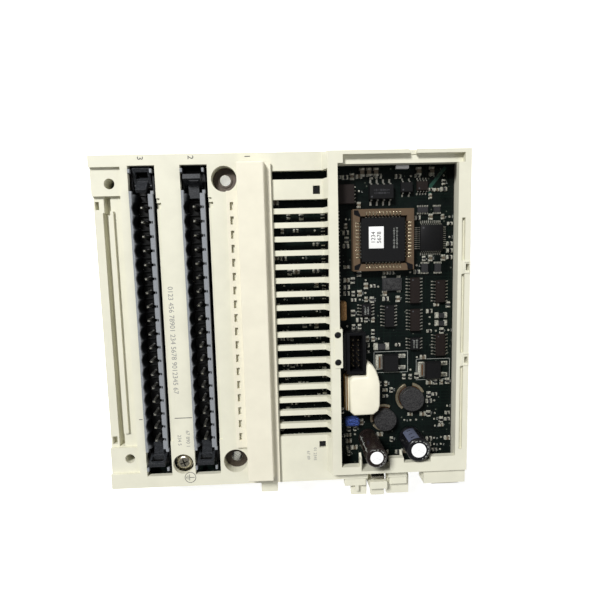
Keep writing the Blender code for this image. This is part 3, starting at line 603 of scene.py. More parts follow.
def printed_marks():
    """Row numbers, plain digits where the casing is printed, the divider lines and the earth symbol."""
    text_z = PANEL_Z + 0.02
    for row, x in ((1, -11.9), (2, -32.1), (3, -49.9)):
        printed_text(f"row_number_{row}", str(row), (x, 61.1, text_z), 2.9, PRINT)
    for name, digits, x, y, size in (
        ("long_number", "0123 456 78901 234 5678 9012345 67", -41.9, -5.2, 2.6),
        ("rating_1", "0123 45", -35.6, -43.6, 1.9),
        ("rating_2", "67 890 1", -38.4, -43.4, 1.9),
        ("rating_3", "234 5", -41.6, -43.8, 1.9),
        ("light_number_1", "01 2345", 10.2, -51.5, 1.6),
        ("light_number_2", "67 89", 7.6, -51.9, 1.6),
    ):
        printed_text(name, digits, (x, y, text_z), size, FAINT_PRINT)
    marks = Piece("printed_marks", PRINT)
    for x in ((-42.9, -36.4), (-56.3, -55.0)):
        marks.box(x, (-35.15, -34.9), PANEL_INK_Z)
    earth_symbol(marks, (-38.2, -58.9))
    marks.place()


def earth_symbol(marks, centre):
    """A circle round three bars and a stem, which points to +X."""
    cx, cy = centre
    half_line = 0.1
    marks.tube(centre, 1.95, 2.15, PANEL_INK_Z)
    for step, half in ((0.35, 1.2), (0.95, 0.8), (1.5, 0.35)):
        x = cx - step
        marks.box(about(x, half_line), about(cy, half), PANEL_INK_Z)
    marks.box((cx - 0.35, cx + 1.6), about(cy, half_line), PANEL_INK_Z)


# ---------------------------------------------------------------- terminals


def terminal_header(node, row, lever_brackets):
    """A header with a scalloped left flange, a notched right flange and square pins."""
    x = ROW_X[row]
    centre_y = ROW_MIDDLE + 0.5
    half = WAYS * PITCH / 2 + 1.9
    ends = about(centre_y, half)
    low = SEAT_Z
    floor_z = SEAT_Z + 1.8
    top = FLANGE_TOP if lever_brackets else 35.7
    header = Piece(node + "_body", HEADER)
    scalloped_flange(header, x, (low, top), ends)
    face, notch, outer = x + 2.2, x + 2.85, x + 4.0
    outline = [(outer, ends[1]), (outer, ends[0]), (face, ends[0])]
    for y in reversed(WAY_Y):
        outline += [(face, y - 0.55), (notch, y - 0.4), (notch, y + 0.4), (face, y + 0.55)]
    outline.append((face, ends[1]))
    header.prism(outline, (low, top))
    header.box((x - 3.0, x + 2.6), (ends[0] + 0.4, ends[1] - 0.4), (low, floor_z))
    boss = ((floor_z, 1.25), (floor_z + 0.5, 1.1), (floor_z + 0.9, 0.7))
    for y in WAY_Y:
        header.turned((x, y), boss, 20)
    for index in range(WAYS + 1):
        y = WAY_Y[0] + (0.5 - index) * PITCH
        header.box((x - 2.6, x + 2.3), about(y, 0.22), (floor_z, 32.6))
    if lever_brackets:
        for side in (-1, 1):
            lever_bracket(header, x, centre_y + side * half, side)
    # Dark lever plastic laid on the right flange beside each notch: painted shade for the small dimples
    # there.
    header.use(LEVER)
    for y in WAY_Y:
        header.box((x + 2.9, x + 3.6), about(y, 0.55), (top - 0.3, top + 0.03))
    header.place(stands_for=(node,), slot="header_plastic", bevel=0.12)
    pins = Piece(node + "_pins", TIN)
    half_pin = 0.5
    levels = ((floor_z, 0.0), (PIN_TOP - 0.7, 0.0), (PIN_TOP - 0.2, 0.18), (PIN_TOP, 0.33))
    for y in WAY_Y:
        pins.layers(about(x, half_pin), about(y, half_pin), levels)
    pins.place(stands_for=(node,))


def scalloped_flange(header, x, z, ends):
    """The left flange: a wall with one tapered scallop for each way."""
    low, top = z
    outer = x - 4.5
    radius_top = 3.15
    radius_low = 2.45
    samples = 12
    stations = [ends[0], ends[0] + 0.9]
    for middle_y in reversed(WAY_Y):
        stations += [middle_y + PITCH * (step / samples - 0.5) for step in range(samples)]
    stations += [WAY_Y[0] + PITCH / 2, ends[1] - 0.5, ends[1]]
    rings = []
    for y in sorted(set(round(value, 4) for value in stations)):
        offset = min(abs(middle_y - y) for middle_y in WAY_Y)
        inner = []
        for radius in (radius_top, radius_low):
            depth = math.sqrt(max(0.0, radius * radius - offset * offset))
            inner.append(min(x - 2.2, x - 0.7 - depth))
        section = (
            (outer, low),
            (outer, top),
            (min(inner[0], x - 3.6), top),
            (inner[0], top - 1.8),
            (inner[1], low + 1.5),
            (inner[1], low),
        )
        rings.append([(a, y, b) for a, b in section])
    header.loft(rings)


def lever_bracket(header, x, y, side):
    """The cheeks and end posts that a lever turns between."""
    reach = 8.8
    cheek_top = LEVER_PIVOT_Z + 1.6
    for low, high in ((x - 4.5, x - 3.65), (x + 3.15, x + 4.0)):
        header.box((low, high), (y - side * 0.2, y + side * reach), (SEAT_Z, cheek_top))
        header.box((low, high), (y + side * (reach - 1.5), y + side * reach), (SEAT_Z, FLANGE_TOP))
        header.box((low, high + 0.25), (y - side * 0.2, y + side * 1.1), (SEAT_Z, FLANGE_TOP))
    header.box((x - 4.5, x + 4.0), (y, y + side * reach), (SEAT_Z, SEAT_Z + 0.7))


def terminals():
    """The three headers and the ejector levers."""
    terminal_header("terminal_header_row1", 1, False)
    for row in (2, 3):
        terminal_header(f"terminal_header_row{row}", row, True)
        for end in ("top", "bottom"):
            dress(f"lever_row{row}_{end}", LEVER, 0.18)


def fixings():
    """The bushes of the fixing holes, black pins that fill two holes in the plate as painted shade, and the
    ground plate with its screw.
    """
    bush = Piece("fixing_bushes", BUSH)
    for centre in FIXING_HOLES:
        bush.tube(centre, 2.05, 4.45, (31.0, 31.75), 48)
        bush.tube(centre, 2.05, 2.7, (31.7, 32.1), 48)
    bush.use(SLEEVE_METAL)
    for centre in FIXING_HOLES:
        bush.tube(centre, 1.95, 2.1, (2.0, 31.5), 48)
    bush.place(bevel=0.1)
    # Black pins filling two holes in the plate: painted shade for the holes.
    shade_pins = Piece("plate_painted_shade_pins", CHIP)
    for centre in PLATE_SHADE_PINS:
        shade_pins.turned(centre, ((36.6, 1.2), (39.6, 1.2), (40.0, 0.95), (40.15, 0.5)), 28)
    shade_pins.place()
    ground_screw()
    dress("ground_plate", NICKEL, 0.1)


def ground_screw():
    """The pan-head screw with its cross recess, and the clamp washer under it."""
    low, top = node_box("ground_screw")[2]
    head_low = top - 2.2
    screw = Piece("ground_screw_look", NICKEL)
    levels = (
        (low, 1.1),
        (low + 0.6, 1.5),
        (head_low, 1.5),
        (head_low + 0.02, 2.9),
        (head_low + 0.9, 3.0),
        (head_low + 1.5, 2.75),
        (top - 0.3, 2.2),
        (top, 1.7),
    )
    screw.turned(GROUND_SCREW, levels, 48)
    screw.use(SHROUD)
    for degrees in (20.0, 110.0):
        screw.at(placed(*GROUND_SCREW, degrees))
        screw.layers((-1.55, 1.55), (-0.27, 0.27), ((top - 0.4, 0.0), (top, 0.0)))
    screw.place(body="ground_screw", stands_for=("ground_screw",), slot="nickel", bevel=0.05)
    dress("ground_washer", NICKEL, 0.1)


# ---------------------------------------------------------------- board


def pad(piece, x, y):
    """One tinned pad on the board."""
    piece.layers(x, y, ((BOARD_TOP - 0.02, 0.0), (BOARD_TOP + 0.05, 0.0), (BOARD_TOP + 0.11, 0.12)))


def gull_leads(piece, half_body, tip, count, pitch, width, middle_z):
    """Gull-wing leads and their pads on both sides of a body that is centred on the origin."""
    foot_z = BOARD_TOP + 0.2
    for index in range(count):
        v = ((count - 1) / 2 - index) * pitch
        span = about(v, width / 2)
        pad_span = (span[0] - 0.04, span[1] + 0.04)
        for side in (-1, 1):
            path = (
                (side * (half_body - 0.15), middle_z),
                (side * (half_body + 0.28), middle_z),
                (side * (half_body + 0.62), foot_z),
                (side * tip, foot_z),
            )
            piece.use(TIN).strip(path, 0.18, span)
            pad(piece.use(SOLDER), (side * (half_body + 0.75), side * (tip + 0.1)), pad_span)


def gull_chip(node, count, pitch, body_width, across=False, body=CHIP, lead=0.36, ink=None):
    """A chip with leads on two sides, and print on it if an ink is given. across turns the leads to Y."""
    x, y, z = node_box(node)
    width, length = (x, y) if not across else (y, x)
    tip = (width[1] - width[0]) / 2
    half_length = (length[1] - length[0]) / 2
    half_body = body_width / 2
    top = z[1]
    middle_z = SEAT_Z + (top - SEAT_Z) * 0.52
    turn = placed(middle(x), middle(y), 90.0 if across else 0.0)
    chip = Piece(node + "_look", body).at(turn)
    levels = (
        (SEAT_Z + 0.1, 0.22),
        (middle_z - 0.08, 0.0),
        (middle_z + 0.08, 0.0),
        (top - 0.05, 0.25),
        (top, 0.32),
    )
    chip.layers((-half_body, half_body), (-half_length, half_length), levels)
    gull_leads(chip, half_body, tip, count, pitch, lead, middle_z)
    dot = (-half_body + 0.95, half_length - 0.95)
    chip.use(CHIP_INK).turned(dot, ((top - 0.02, 0.3), (top + 0.01, 0.3)), 12)
    chip.place(stands_for=(node,), slot="black_plastic")
    if ink:
        chip_print(node + "_print", turn, half_length, top, ink)


def chip_print(name, turn, half_v, top, ink):
    """Faint print on a chip: two rows of short strokes with no letters in them."""
    source = random.Random(name)
    marks = Piece(name, ink).at(turn)
    stroke = 0.16
    reach = half_v * 0.62
    for u in (-0.55, 0.55):
        v = -reach
        while v < reach:
            length = source.choice((0.3, 0.45, 0.7))
            marks.box(about(u, length / 2), (v, v + stroke), (top - 0.01, top + 0.02))
            v += source.choice((0.32, 0.36, 0.5))
    marks.place()


def logic_chips():
    """The small-outline packages, the optocouplers and the timer chip."""
    leads_a_side = {1: 8, 2: 7, 3: 4, 4: 7, 5: 7, 6: 4, 7: 7}
    for number, count in leads_a_side.items():
        body = CHIP_BROWN if number in (1, 2, 4, 5) else CHIP
        ink = SILK if number in (3, 6) else None
        gull_chip(f"logic_chip_{number}", count, SMALL_LEAD_PITCH, 3.9, body=body, ink=ink)
    for number in (1, 2, 3):
        gull_chip(f"light_driver_{number}", 8, SMALL_LEAD_PITCH, 3.9)
    gull_chip("timer_chip", 4, 1.1, 3.7, across=True, body=CHIP_BROWN)
    gull_chip("opto_wide", 4, 2.4, 5.6, across=True, lead=0.6, ink=CHIP_INK)
    gull_chip("opto_small", 2, 2.54, 3.9, across=True, lead=0.5)


def flat_pack():
    """The square chip with fine leads on its four sides."""
    x, y, z = node_box("interface_chip")
    top = z[1]
    middle_z = SEAT_Z + 1.0
    chip = Piece("interface_chip_look", CHIP)
    levels = (
        (SEAT_Z + 0.1, 0.25),
        (middle_z - 0.1, 0.0),
        (middle_z + 0.1, 0.0),
        (top - 0.05, 0.22),
        (top, 0.3),
    )
    chip.layers(x, y, levels)
    half_x = (x[1] - x[0]) / 2
    half_y = (y[1] - y[0]) / 2
    for half, pitch, degrees in ((half_x, 0.8, 0.0), (half_y, 0.75, 90.0)):
        chip.at(placed(middle(x), middle(y), degrees))
        gull_leads(chip, half, half + 1.5, 11, pitch, 0.26, middle_z)
    chip.use(CHIP_INK).turned((half_y - 1.2, half_x - 1.2), ((top - 0.02, 0.4), (top + 0.01, 0.4)), 16)
    chip.place(stands_for=("interface_chip",), slot="black_plastic")


def socket_contact_places():
    """Places of the contacts along one side of the socket."""
    return [((SOCKET_CONTACTS - 1) / 2 - index) * SMALL_LEAD_PITCH for index in range(SOCKET_CONTACTS)]


def chip_socket():
    """The brown frame of the socket, with a cut corner, contact slots and contacts."""
    x, y, z = node_box("plcc_socket")
    cx, cy = middle(x), middle(y)
    outer = (x[1] - x[0]) / 2
    inner = 8.9
    top = z[1]
    floor_z = SEAT_Z + 1.1
    chamfer = 2.4
    slot_half = 0.3
    slot_depth = 1.25
    cut_edge = outer - chamfer
    outline = [(-outer, -outer), (outer, -outer), (outer, cut_edge), (cut_edge, outer), (-outer, outer)]
    socket = Piece("plcc_socket_frame", SOCKET).at(placed(cx, cy))
    socket.prism(outline, (SEAT_Z, floor_z))
    for quarter in range(4):
        socket.at(placed(cx, cy, 90.0 * quarter))
        end = cut_edge if quarter == 0 else outer
        wall = [(-outer, -outer), (end, -outer), (inner, -inner)]
        for u in socket_contact_places():
            deep = -inner - slot_depth
            wall += [(u + slot_half, -inner), (u + slot_half, deep)]
            wall += [(u - slot_half, deep), (u - slot_half, -inner)]
        wall.append((-inner, -inner))
        socket.use(SOCKET).prism(wall, (floor_z, top))
        socket.use(GOLD)
        for u in socket_contact_places():
            path = (
                (-inner + 0.1, SEAT_Z + 1.4),
                (-inner - 0.9, top - 1.0),
                (-inner - 0.55, top - 0.15),
                (-inner - 1.15, top - 0.35),
            )
            socket.strip(path, 0.2, about(u, 0.2), "X")
            tail_y = (-outer + 1.0, -outer + 1.5)
            socket.layers(about(u, 0.27), tail_y, ((top - 0.05, 0.0), (top + 0.03, 0.05)))
    socket.use(SHROUD).at(placed(cx, cy))
    near, far, width = inner - 0.6, inner + 2.2, 1.6
    for sx, sy in ((-1, 1), (1, -1), (-1, -1)):
        a, b = sx * near, sy * near
        c, d = sx * far, sy * far
        wedge = [(a, b), (c - sx * width, d), (c, d), (c, d - sy * width)]
        socket.prism(wedge, (top - 0.02, top + 0.04))
    socket.place(stands_for=("plcc_socket",), slot="socket_plastic", bevel=0.08)


def socketed_chip():
    """The chip in the socket, with its folded leads and faint print."""
    x, y, z = node_box("controller_chip")
    cx, cy = (middle(span) for span in node_box("plcc_socket")[:2])
    low, top = z
    chip = Piece("controller_chip_look", CHIP)
    chip.layers(x, y, ((low, 0.2), (low + 1.2, 0.0), (top - 0.3, 0.0), (top, 0.25)))
    chip.use(TIN)
    path = ((-8.1, top - 0.9), (-8.6, top - 1.0), (-8.62, low + 0.3), (-8.2, low + 0.1))
    for quarter in range(4):
        chip.at(placed(cx, cy, 90.0 * quarter))
        for u in socket_contact_places():
            chip.strip(path, 0.16, about(u, 0.24), "X")
    chip.place(stands_for=("controller_chip",), slot="black_plastic")
    chip_print("controller_print", placed(cx + 4.6, cy + 0.6), 6.0, top + 0.01, SILK)


def chip_label():
    """The paper label on the chip, with plain digits."""
    x, y, z = node_box("chip_label")
    label = Piece("chip_label_look", PAPER)
    label.box(x, y, (z[0] - 0.25, z[1] - 0.3), 0.03)
    label.place(stands_for=("chip_label",), slot="label_paper")
    printed_text("label_number", "1234\n5678", (middle(x), middle(y), z[1] - 0.28), 2.2, CHIP, 90.0)


def corner_chip():
    """The brownish chip at the board's left edge, with pads on one side."""
    x, y, z = node_box("corner_chip")
    chip = Piece("corner_chip_look", CHIP_BROWN)
    chip.layers(x, y, ((z[0], 0.1), (z[0] + 1.6, 0.0), (z[1], 0.2)))
    chip.use(SOLDER)
    for index in range(5):
        v = y[0] + 0.9 + index * 1.35
        pad(chip, (x[1] + 0.1, x[1] + 0.9), (v, v + 0.5))
    chip.place(stands_for=("corner_chip",), slot="socket_plastic", bevel=0.08)


def oscillator():
    """The oscillator's can, its lid and its four pads."""
    x, y, z = node_box("oscillator")
    can = Piece("oscillator_look", CERAMIC)
    can.box(x, y, (z[0], z[1] - 0.25), 0.3)
    rim = 0.5
    can.use(FERRITE).box((x[0] + rim, x[1] - rim), (y[0] + rim, y[1] - rim), (z[1] - 0.3, z[1]), 0.15)
    can.use(SOLDER)
    for px in (x[0] + 0.9, x[1] - 0.9):
        for py in (y[0] - 0.3, y[1] + 0.3):
            pad(can, about(px, 0.75), about(py, 0.5))
    can.place(stands_for=("oscillator",), slot="ceramic_body")


def board_light():
    """The pale light block under the frame's top edge."""
    light = Piece("board_light", WHITE)
    light.box((43.2, 48.1), (56.7, 57.9), (SEAT_Z, 31.2), 0.15)
    light.place()


def adapter_connector():
    """The shrouded pin block of the adapter."""
    x, y, z = node_box("adapter_connector")
    inner_x = (x[0] + 1.2, x[1] - 1.2)
    wall_y = 1.1
    floor_z = z[0] + 1.5
    shroud = Piece("adapter_connector_shroud", SHROUD)
    shroud.box(x, y, (z[0], floor_z))
    for span_x, span_y in (
        ((x[0], inner_x[0]), y),
        ((inner_x[1], x[1]), y),
        (inner_x, (y[0], y[0] + wall_y)),
        (inner_x, (y[1] - wall_y, y[1])),
    ):
        shroud.box(span_x, span_y, (floor_z, z[1]), 0.12)
    # The grey lever-plastic strip along the shroud's left wall is a painted highlight on that wall.
    shroud.use(LEVER).box((x[0] - 0.9, x[0] - 0.05), (y[0] + 1.5, y[1] - 0.4), (z[0], z[1] - 0.6), 0.2)
    shroud.use(GOLD)
    half_pin = 0.25
    levels = ((z[0] + 1.4, 0.0), (z[1] - 1.5, 0.0), (z[1] - 1.1, 0.15))
    for row in range(6):
        py = middle(y) + (row - 2.5) * 2.0
        for px in (middle(x) - 1.0, middle(x) + 1.0):
            shroud.layers(about(px, half_pin), about(py, half_pin), levels)
    shroud.place(stands_for=("adapter_connector",), slot="black_plastic")


def inset_outline(points, inset, z):
    """An outline drawn in by inset, at a level."""
    path = [Vector(point) for point in points]
    result = []
    for i, point in enumerate(path):
        before = (point - path[i - 1]).normalized()
        after = (path[(i + 1) % len(path)] - point).normalized()
        normal = Vector((-(before.y + after.y), before.x + after.x)).normalized()
        reach = inset / max(0.5, normal.dot(Vector((-before.y, before.x))))
        moved = point + normal * reach
        result.append((moved.x, moved.y, z))
    return result


def transformer():
    """The cream taped transformer with its lobe, amber bands and layered left edge."""
    x, y, z = node_box("transformer_wrap")
    top = z[1]
    outline = (
        (25.3, y[0]),
        (32.8, y[0] + 0.1),
        (34.7, -34.6),
        (x[1] - 0.1, -32.6),
        (x[1], -24.0),
        (34.9, -21.3),
        (34.0, -18.7),
        (32.7, -16.7),
        (31.2, -15.7),
        (30.4, -17.0),
        (30.3, -21.0),
        (25.3, -20.9),
        (x[0], -22.4),
        (x[0], -34.7),
    )
    levels = (
        (SEAT_Z + 1.7, 0.2),
        (SEAT_Z + 2.6, 0.0),
        (top - 1.3, 0.0),
        (top - 0.6, 0.15),
        (top - 0.15, 0.4),
        (top, 0.75),
    )
    wrap = Piece("transformer_wrap_look", TAPE)
    wrap.loft([inset_outline(outline, inset, level) for level, inset in levels])
    wrap.use(AMBER)
    for level in (SEAT_Z + 3.6, SEAT_Z + 5.0):
        band = enumerate((0.1, 0.0, 0.0, 0.1))
        wrap.loft([inset_outline(outline, inset, level + 0.06 * step) for step, inset in band])
    wrap.place(stands_for=("transformer_wrap",), slot="insulating_tape", smooth_angle=50.0)
    x, y, z = node_box("transformer_core")
    core = Piece("transformer_core_look", AMBER)
    core.box((x[0] + 0.9, x[1]), y, (z[0], z[0] + 1.2), 0.2)
    for step in range(4):
        left = x[0] + 0.05 + step * 0.38
        sheet_y = (y[0] + 0.6, y[1] - 0.4 - 0.3 * step)
        core.use(TAPE if step % 2 else AMBER)
        core.box((left, left + 0.3), sheet_y, (z[0] + 0.3, z[1] - 0.4 * (3 - step)), 0.1)
    core.place(stands_for=("transformer_core",), slot="winding_tape")


def inductor(node, pad_arcs):
    """A drum inductor: ferrite discs round a copper winding, on curved terminals."""
    x, y, z = node_box(node)
    centre = (middle(x), middle(y))
    radius = (x[1] - x[0]) / 2
    low, top = z
    drum = Piece(node + "_look", FERRITE)
    lower = ((low, 0.94), (low + 0.9, 0.94), (low + 0.95, 0.7))
    upper = ((top - 1.3, 0.72), (top - 1.2, 1.0), (top - 0.25, 1.0), (top, 0.95))
    winding = ((low + 0.9, 0.8), (top - 1.2, 0.8))
    for material, levels in ((FERRITE, lower), (FERRITE, upper), (COPPER, winding)):
        drum.use(material).turned(centre, [(level, radius * share) for level, share in levels], 48)
    for arc in pad_arcs:
        for material, inner, outer, height in ((TERMINAL, 1.02, 1.25, 0.9), (COPPER, 0.93, 1.02, 0.7)):
            span = (BOARD_TOP, BOARD_TOP + height)
            drum.use(material).ring(centre, radius * inner, radius * outer, span, arc, 18)
    drum.place(stands_for=(node,), slot="ferrite", bevel=0.08)


def electrolytic(node, sleeve, stripe_at, stripe_wide):
    """An electrolytic capacitor: sleeved can, crimp, scored lid whose white is a painted reflection of its
    aluminium, and a polarity stripe.
    """
    x, y, z = node_box(node)
    centre = (middle(x), middle(y))
    radius = (x[1] - x[0]) / 2
    top = z[1]
    crimp = z[0] + 1.9
    can = Piece(node + "_sleeve", sleeve)
    profile = (
        (z[0], 0.8),
        (z[0] + 0.3, 0.97),
        (crimp - 0.5, 0.97),
        (crimp, 0.88),
        (crimp + 0.5, 0.97),
        (crimp + 0.9, 1.0),
        (top - 0.75, 1.0),
        (top - 0.25, 0.95),
        (top, 0.86),
        (top - 0.03, 0.62),
        (top - 0.5, 0.60),
    )
    can.turned(centre, [(level, radius * share) for level, share in profile], 56)
    stripe_z = (crimp + 1.0, top - 0.9)
    half_arc = 28 if stripe_wide else 2
    stripe_arc = about(stripe_at, half_arc)
    can.use(STRIPE if stripe_wide else SILK)
    can.ring(centre, radius - 0.02, radius + 0.035, stripe_z, stripe_arc, 14)
    can.use(sleeve if stripe_wide else SILK)
    height = stripe_z[1] - stripe_z[0]
    for step in range(3):
        level = stripe_z[0] + height * (step + 0.5) / 3
        dash_arc = about(stripe_at, 9)
        can.ring(centre, radius, radius + 0.05, about(level, 0.22), dash_arc, 6)
    can.use(SILK)
    for step in range(9):
        angle = -70 + step * 21
        arc = (angle, angle + 6 + 5 * (step % 3))
        can.ring(centre, radius * 0.76, radius * 0.82, (top - 0.02, top + 0.015), arc, 4)
    can.place(stands_for=(node,), slot="can_aluminium")
    # The lid is white plastic: a painted reflection of its bright aluminium top.
    lid = Piece(node + "_lid", LID_PAINTED_REFLECTION)
    lid_profile = ((top - 0.6, 0.61), (top - 0.06, 0.61), (top - 0.02, 0.56))
    lid.turned(centre, [(level, radius * share) for level, share in lid_profile], 48)
    lid.use(ALUMINIUM)
    for angle in (90, 210, 330):
        lid.at(placed(*centre, angle))
        lid.layers((0.0, radius * 0.5), (-0.035, 0.035), ((top - 0.1, 0.0), (top - 0.015, 0.0)))
    lid.place(stands_for=(node,))


def power_package(node):
    """A power transistor package: body, tinned tab, two leads and a printed outline."""
    x, y, z = node_box(node)
    cy = middle(y)
    tab_end = x[0] + 1.6
    body = (tab_end, x[1] - 2.5)
    package = Piece(node + "_look", CHIP)
    package.layers(body, y, ((SEAT_Z, 0.0), (z[1] - 0.6, 0.0), (z[1], 0.35)))
    tab_levels = ((SEAT_Z, 0.0), (SEAT_Z + 0.5, 0.0), (SEAT_Z + 0.6, 0.1))
    package.use(TIN).layers((x[0], tab_end + 0.4), about(cy, 2.7), tab_levels)
    tab_slot_z = (SEAT_Z + 0.5, SEAT_Z + 0.72)
    package.use(COPPER).box((x[0] + 0.25, x[0] + 0.75), about(cy, 2.2), tab_slot_z)
    pad(package.use(SOLDER), (x[0] - 1.0, tab_end), about(cy, 3.1))
    lead = (
        (body[1] - 0.2, z[0] + 1.2),
        (body[1] + 0.7, z[0] + 1.1),
        (body[1] + 1.1, z[0] - 0.1),
        (x[1] + 0.1, z[0] - 0.1),
    )
    for v in about(cy, 2.3):
        package.use(TIN).strip(lead, 0.3, about(v, 0.4))
        pad(package.use(SOLDER), (body[1] + 0.5, x[1] + 0.7), about(v, 0.8))
    package.place(stands_for=(node,), slot="black_plastic")
    outline = Piece(node + "_outline", SILK)
    left, right = x[0] - 1.6, x[1] + 1.6
    low, high = y[0] - 0.8, y[1] + 0.8
    half_line = 0.09
    for v in (low, high):
        outline.box((left, right), about(v, half_line), BOARD_INK_Z)
    for u in (left, right):
        outline.box(about(u, half_line), (low, high), BOARD_INK_Z)
    outline.place()


def two_terminal(piece, x, y, height, body, along="X"):
    """A chip resistor or capacitor: body, metal ends and pads."""
    low = SEAT_Z - 0.1
    top = low + height
    rim = 0.25
    if along == "X":
        cap = 0.22 * (x[1] - x[0])
        core = ((x[0] + cap, x[1] - cap), y)
        ends = (((x[0], x[0] + cap), y), ((x[1] - cap, x[1]), y))
    else:
        cap = 0.22 * (y[1] - y[0])
        core = (x, (y[0] + cap, y[1] - cap))
        ends = ((x, (y[0], y[0] + cap)), (x, (y[1] - cap, y[1])))
    piece.use(body).layers(*core, ((low, 0.0), (top, 0.0)))
    for end_x, end_y in ends:
        piece.use(SOLDER).layers(end_x, end_y, ((low, -0.04), (top, -0.04), (top + 0.05, 0.06)))
        pad(piece, (end_x[0] - rim, end_x[1] + rim), (end_y[0] - rim, end_y[1] + rim))


def passive_parts():
    """The CAD passives: resistor networks, resistors, film capacitor and surge suppressor."""
    for number in (1, 2, 3, 4):
        node = f"resistor_network_{number}"
        x, y, z = node_box(node)
        network = Piece(node + "_look", CERAMIC)
        network.layers((x[0] + 0.3, x[1] - 0.3), (y[0] + 0.6, y[1] - 0.6), ((z[0], 0.0), (z[1], 0.05)))
        for index in range(5):
            u = x[0] + (x[1] - x[0]) * (index + 0.5) / 5
            for v in ((y[0], y[0] + 0.7), (y[1] - 0.7, y[1])):
                network.use(SOLDER).layers(about(u, 0.17), v, ((BOARD_TOP, 0.0), (z[1] - 0.1, 0.04)))
        network.place(stands_for=(node,), slot="ceramic_body")
    for node in ("shunt_resistor", "resistor_a", "resistor_b"):
        x, y, z = node_box(node)
        resistor = Piece(node + "_look", CERAMIC)
        two_terminal(resistor, x, y, z[1] - z[0], CERAMIC)
        resistor.place(stands_for=(node,), slot="ceramic_body")
    dress("film_capacitor", ORANGE, 0.5)
    dress("surge_suppressor", BLUE, 0.6)


def taken_places():
    """Where the board is covered: the boxes of the CAD parts with room round them for leads."""
    taken = []
    for node in NODES:
        x, y, z = node_box(node)
        on_board = SEAT_Z - 0.2 <= z[0] <= SEAT_Z + 2.0
        if on_board and x[1] - x[0] <= 40.0:
            taken.append(widened(x, y, 1.1, 0.9))
    x, y, z = node_box("interface_chip")
    taken.append(widened(x, y, 1.6 + 1.1, 1.6 + 1.1))
    for node in ("inductor_a", "inductor_b"):
        x, y, z = node_box(node)
        taken.append(widened(x, y, 2.2, 2.2))
    return taken


def widened(x, y, margin_x, margin_y):
    """Two spans with a margin at both ends, as four numbers."""
    return x[0] - margin_x, x[1] + margin_x, y[0] - margin_y, y[1] + margin_y


def small_parts():
    """Small chip parts and their printed marks wherever the board is free."""
    source = random.Random(11)
    taken = taken_places()
    parts = Piece("small_chip_parts", CERAMIC)
    ink = Piece("board_marks", SILK)
    fields = (((21.8, 64.5), (-55.0, 55.5), 0.5), ((-2.5, 15.5), (-46.0, 46.0), 0.3))
    step_x = 2.5
    step_y = 2.6
    for (x_low, x_high), (y_low, y_high), chance in fields:
        x = x_low
        while x < x_high:
            y = y_low
            while y < y_high:
                place_x = x + source.uniform(-0.2, 0.2)
                place_y = y + source.uniform(-0.2, 0.2)
                free = not any(a < place_x < b and c < place_y < d for a, b, c, d in taken)
                if free and source.random() < chance:
                    one_small_part(parts, ink, source, place_x, place_y)
                y += step_y
            x += step_x
    parts.place()
    ink.place()


def one_small_part(parts, ink, source, x, y):
    """One chip part or solder spot, often with a printed mark beside it."""
    kind = source.random()
    length, width = source.choice(((1.6, 0.8), (2.0, 1.2)))
    body = source.choice((CERAMIC, CERAMIC_TAN, CHIP))
    along_x, along_y = 0.38, 0.72
    if kind < along_x:
        two_terminal(parts, about(x, length / 2), about(y, width / 2), 0.6, body)
    elif kind < along_y:
        two_terminal(parts, about(x, width / 2), about(y, length / 2), 0.6, body, "Y")
    else:
        spot = ((BOARD_TOP - 0.02, 0.42), (BOARD_TOP + 0.08, 0.34), (BOARD_TOP + 0.1, 0.15))
        parts.use(SOLDER).turned((x, y), spot, 14)
    if source.random() < 0.55:
        left = x + 0.95
        for stroke in range(source.choice((2, 3))):
            v = y - 0.5 + stroke * 0.42
            ink.box((left, left + source.choice((0.35, 0.6))), (v, v + 0.17), BOARD_INK_Z)


def edge_row_parts():
    """Chip parts along the top of the board, pads along its left edge and the corner track."""
    row = Piece("top_row_parts", CERAMIC_TAN)
    for x in (30.6, 33.2, 35.9, 52.2, 57.2):
        two_terminal(row, about(x, 0.75), (54.4, 57.2), 0.9, CERAMIC_TAN, "Y")
    row.place()
    pads = Piece("left_edge_pads", SOLDER)
    for group_top in (41.4, 29.8, 18.2):
        for index in range(8):
            y = group_top - index * SMALL_LEAD_PITCH
            pad(pads, (20.6, 21.9), about(y, 0.27))
    pads.place()
    mask = moulded_plastic("wide_track_mask", (0.015, 0.055, 0.04), 0.3, mottle=0.2)
    track = Piece("wide_track", mask)
    outline = thick_path(((56.4, 47.5), (57.0, 50.4), (62.6, 57.2)), 1.3)
    track.prism(outline, (BOARD_TOP - 0.01, BOARD_TOP + 0.04))
    track.place()


def status_lights():
    """The clear blocks in the light windows and the dark bars beside them."""
    for node in ("status_light_upper", "status_light_lower"):
        dress(node, LENS, 0.2)
    bars = Piece("light_bars", LENS)
    for y in ((47.9, 50.5), (-48.9, -46.5)):
        bars.box((15.2, 16.0), y, (PANEL_Z - 0.3, PANEL_Z + 0.03))
    bars.place()


def clip_frames():
    """The raised frames round the adapter's clip windows."""
    clips = Piece("adapter_clip_frames", CREAM)
    left, inner_left, inner_right, right = 65.4, 66.1, 67.95, 68.3
    bar = 0.6
    for low, high in ((17.3, 21.9), (-17.3, -12.5)):
        for x, y in (
            ((left, inner_left), (low, high)),
            ((inner_right, right), (low, high)),
            ((inner_left, inner_right), (low, low + bar)),
            ((inner_left, inner_right), (high - bar, high)),
        ):
            clips.box(x, y, about(FRAME_Z, 0.3), 0.1)
    clips.place()


# ---------------------------------------------------------------- picture


def area_light(name, position, size, power):
    """A square soft light that points at the object."""
    data = bpy.data.lights.new(name, "AREA")
    data.energy = power
    data.size = size
    light = bpy.data.objects.new(name, data)
    light.location = position
    direction = Vector((0.0, 0.0, 0.03)) - Vector(position)
    light.rotation_euler = direction.to_track_quat("-Z", "Y").to_euler()
    bpy.context.scene.collection.objects.link(light)


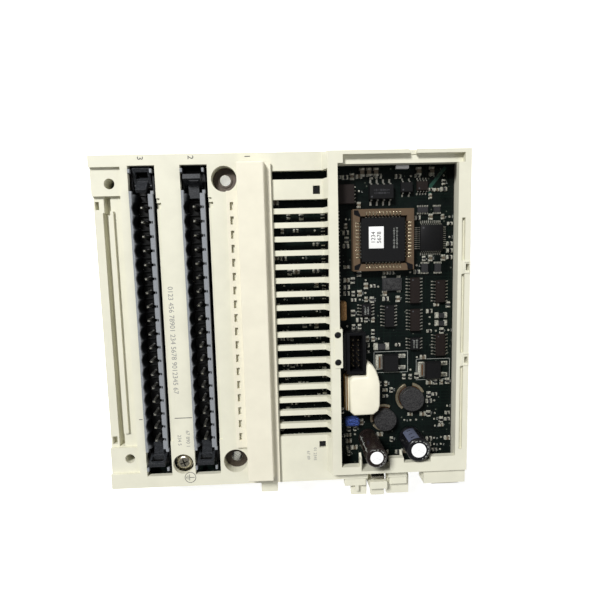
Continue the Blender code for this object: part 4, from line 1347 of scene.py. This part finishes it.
def studio():
    """A pale floor that glows a little, a soft key light from the upper left, a fill and an even sky."""
    size = 1.2
    mesh = bpy.data.meshes.new("floor")
    corners = [(-size, -size, 0), (size, -size, 0), (size, size, 0), (-size, size, 0)]
    mesh.from_pydata(corners, [], [(0, 1, 2, 3)])
    floor = bpy.data.objects.new("floor", mesh)
    floor.location.z = -0.0005
    shade = Shade("floor", (0.95, 0.95, 0.95), 0.8)
    shade.shader.inputs["Emission Color"].default_value = (1.0, 1.0, 1.0, 1.0)
    shade.shader.inputs["Emission Strength"].default_value = 0.6
    mesh.materials.append(shade.material)
    bpy.context.scene.collection.objects.link(floor)
    area_light("key", (-0.55, 0.75, 1.10), 0.30, 23.0)
    area_light("side", (0.8, -0.2, 0.5), 0.6, 2.5)
    world = bpy.data.worlds.new("studio")
    world.use_nodes = True
    sky = world.node_tree.nodes["Background"]
    sky.inputs["Color"].default_value = (1.0, 1.0, 1.0, 1.0)
    sky.inputs["Strength"].default_value = 0.20
    bpy.context.scene.world = world
    bpy.context.scene.view_settings.view_transform = "Standard"


def camera():
    """A short-lens camera above the front, a little tipped and turned."""
    data = bpy.data.cameras.new("camera")
    data.sensor_width = 36.0
    data.lens = 26.8
    data.clip_start = 0.005
    eye = bpy.data.objects.new("camera", data)
    turn = Matrix.Identity(4)
    for degrees, axis in ((-6.469, "X"), (-2.059, "Y"), (-1.666, "Z")):
        turn = turn @ Matrix.Rotation(math.radians(degrees), 4, axis)
    eye.matrix_world = Matrix.Translation((-0.00016, 0.03159, 0.20132)) @ turn
    bpy.context.scene.collection.objects.link(eye)
    bpy.context.scene.camera = eye


casing()
capacitor_bay_walls()
printed_marks()
terminals()
fixings()
dress("circuit_board", BOARD, 0.0)
logic_chips()
flat_pack()
chip_socket()
socketed_chip()
chip_label()
corner_chip()
oscillator()
board_light()
adapter_connector()
transformer()
inductor("inductor_a", ((60, 200), (215, 330)))
inductor("inductor_b", ((110, 235), (20, 80)))
electrolytic("capacitor_tall", SLEEVE_BROWN, 150, False)
electrolytic("capacitor_wide", SLEEVE_GREY, 112, True)
power_package("regulator_a")
power_package("regulator_b")
passive_parts()
small_parts()
edge_row_parts()
status_lights()
clip_frames()
studio()
camera()
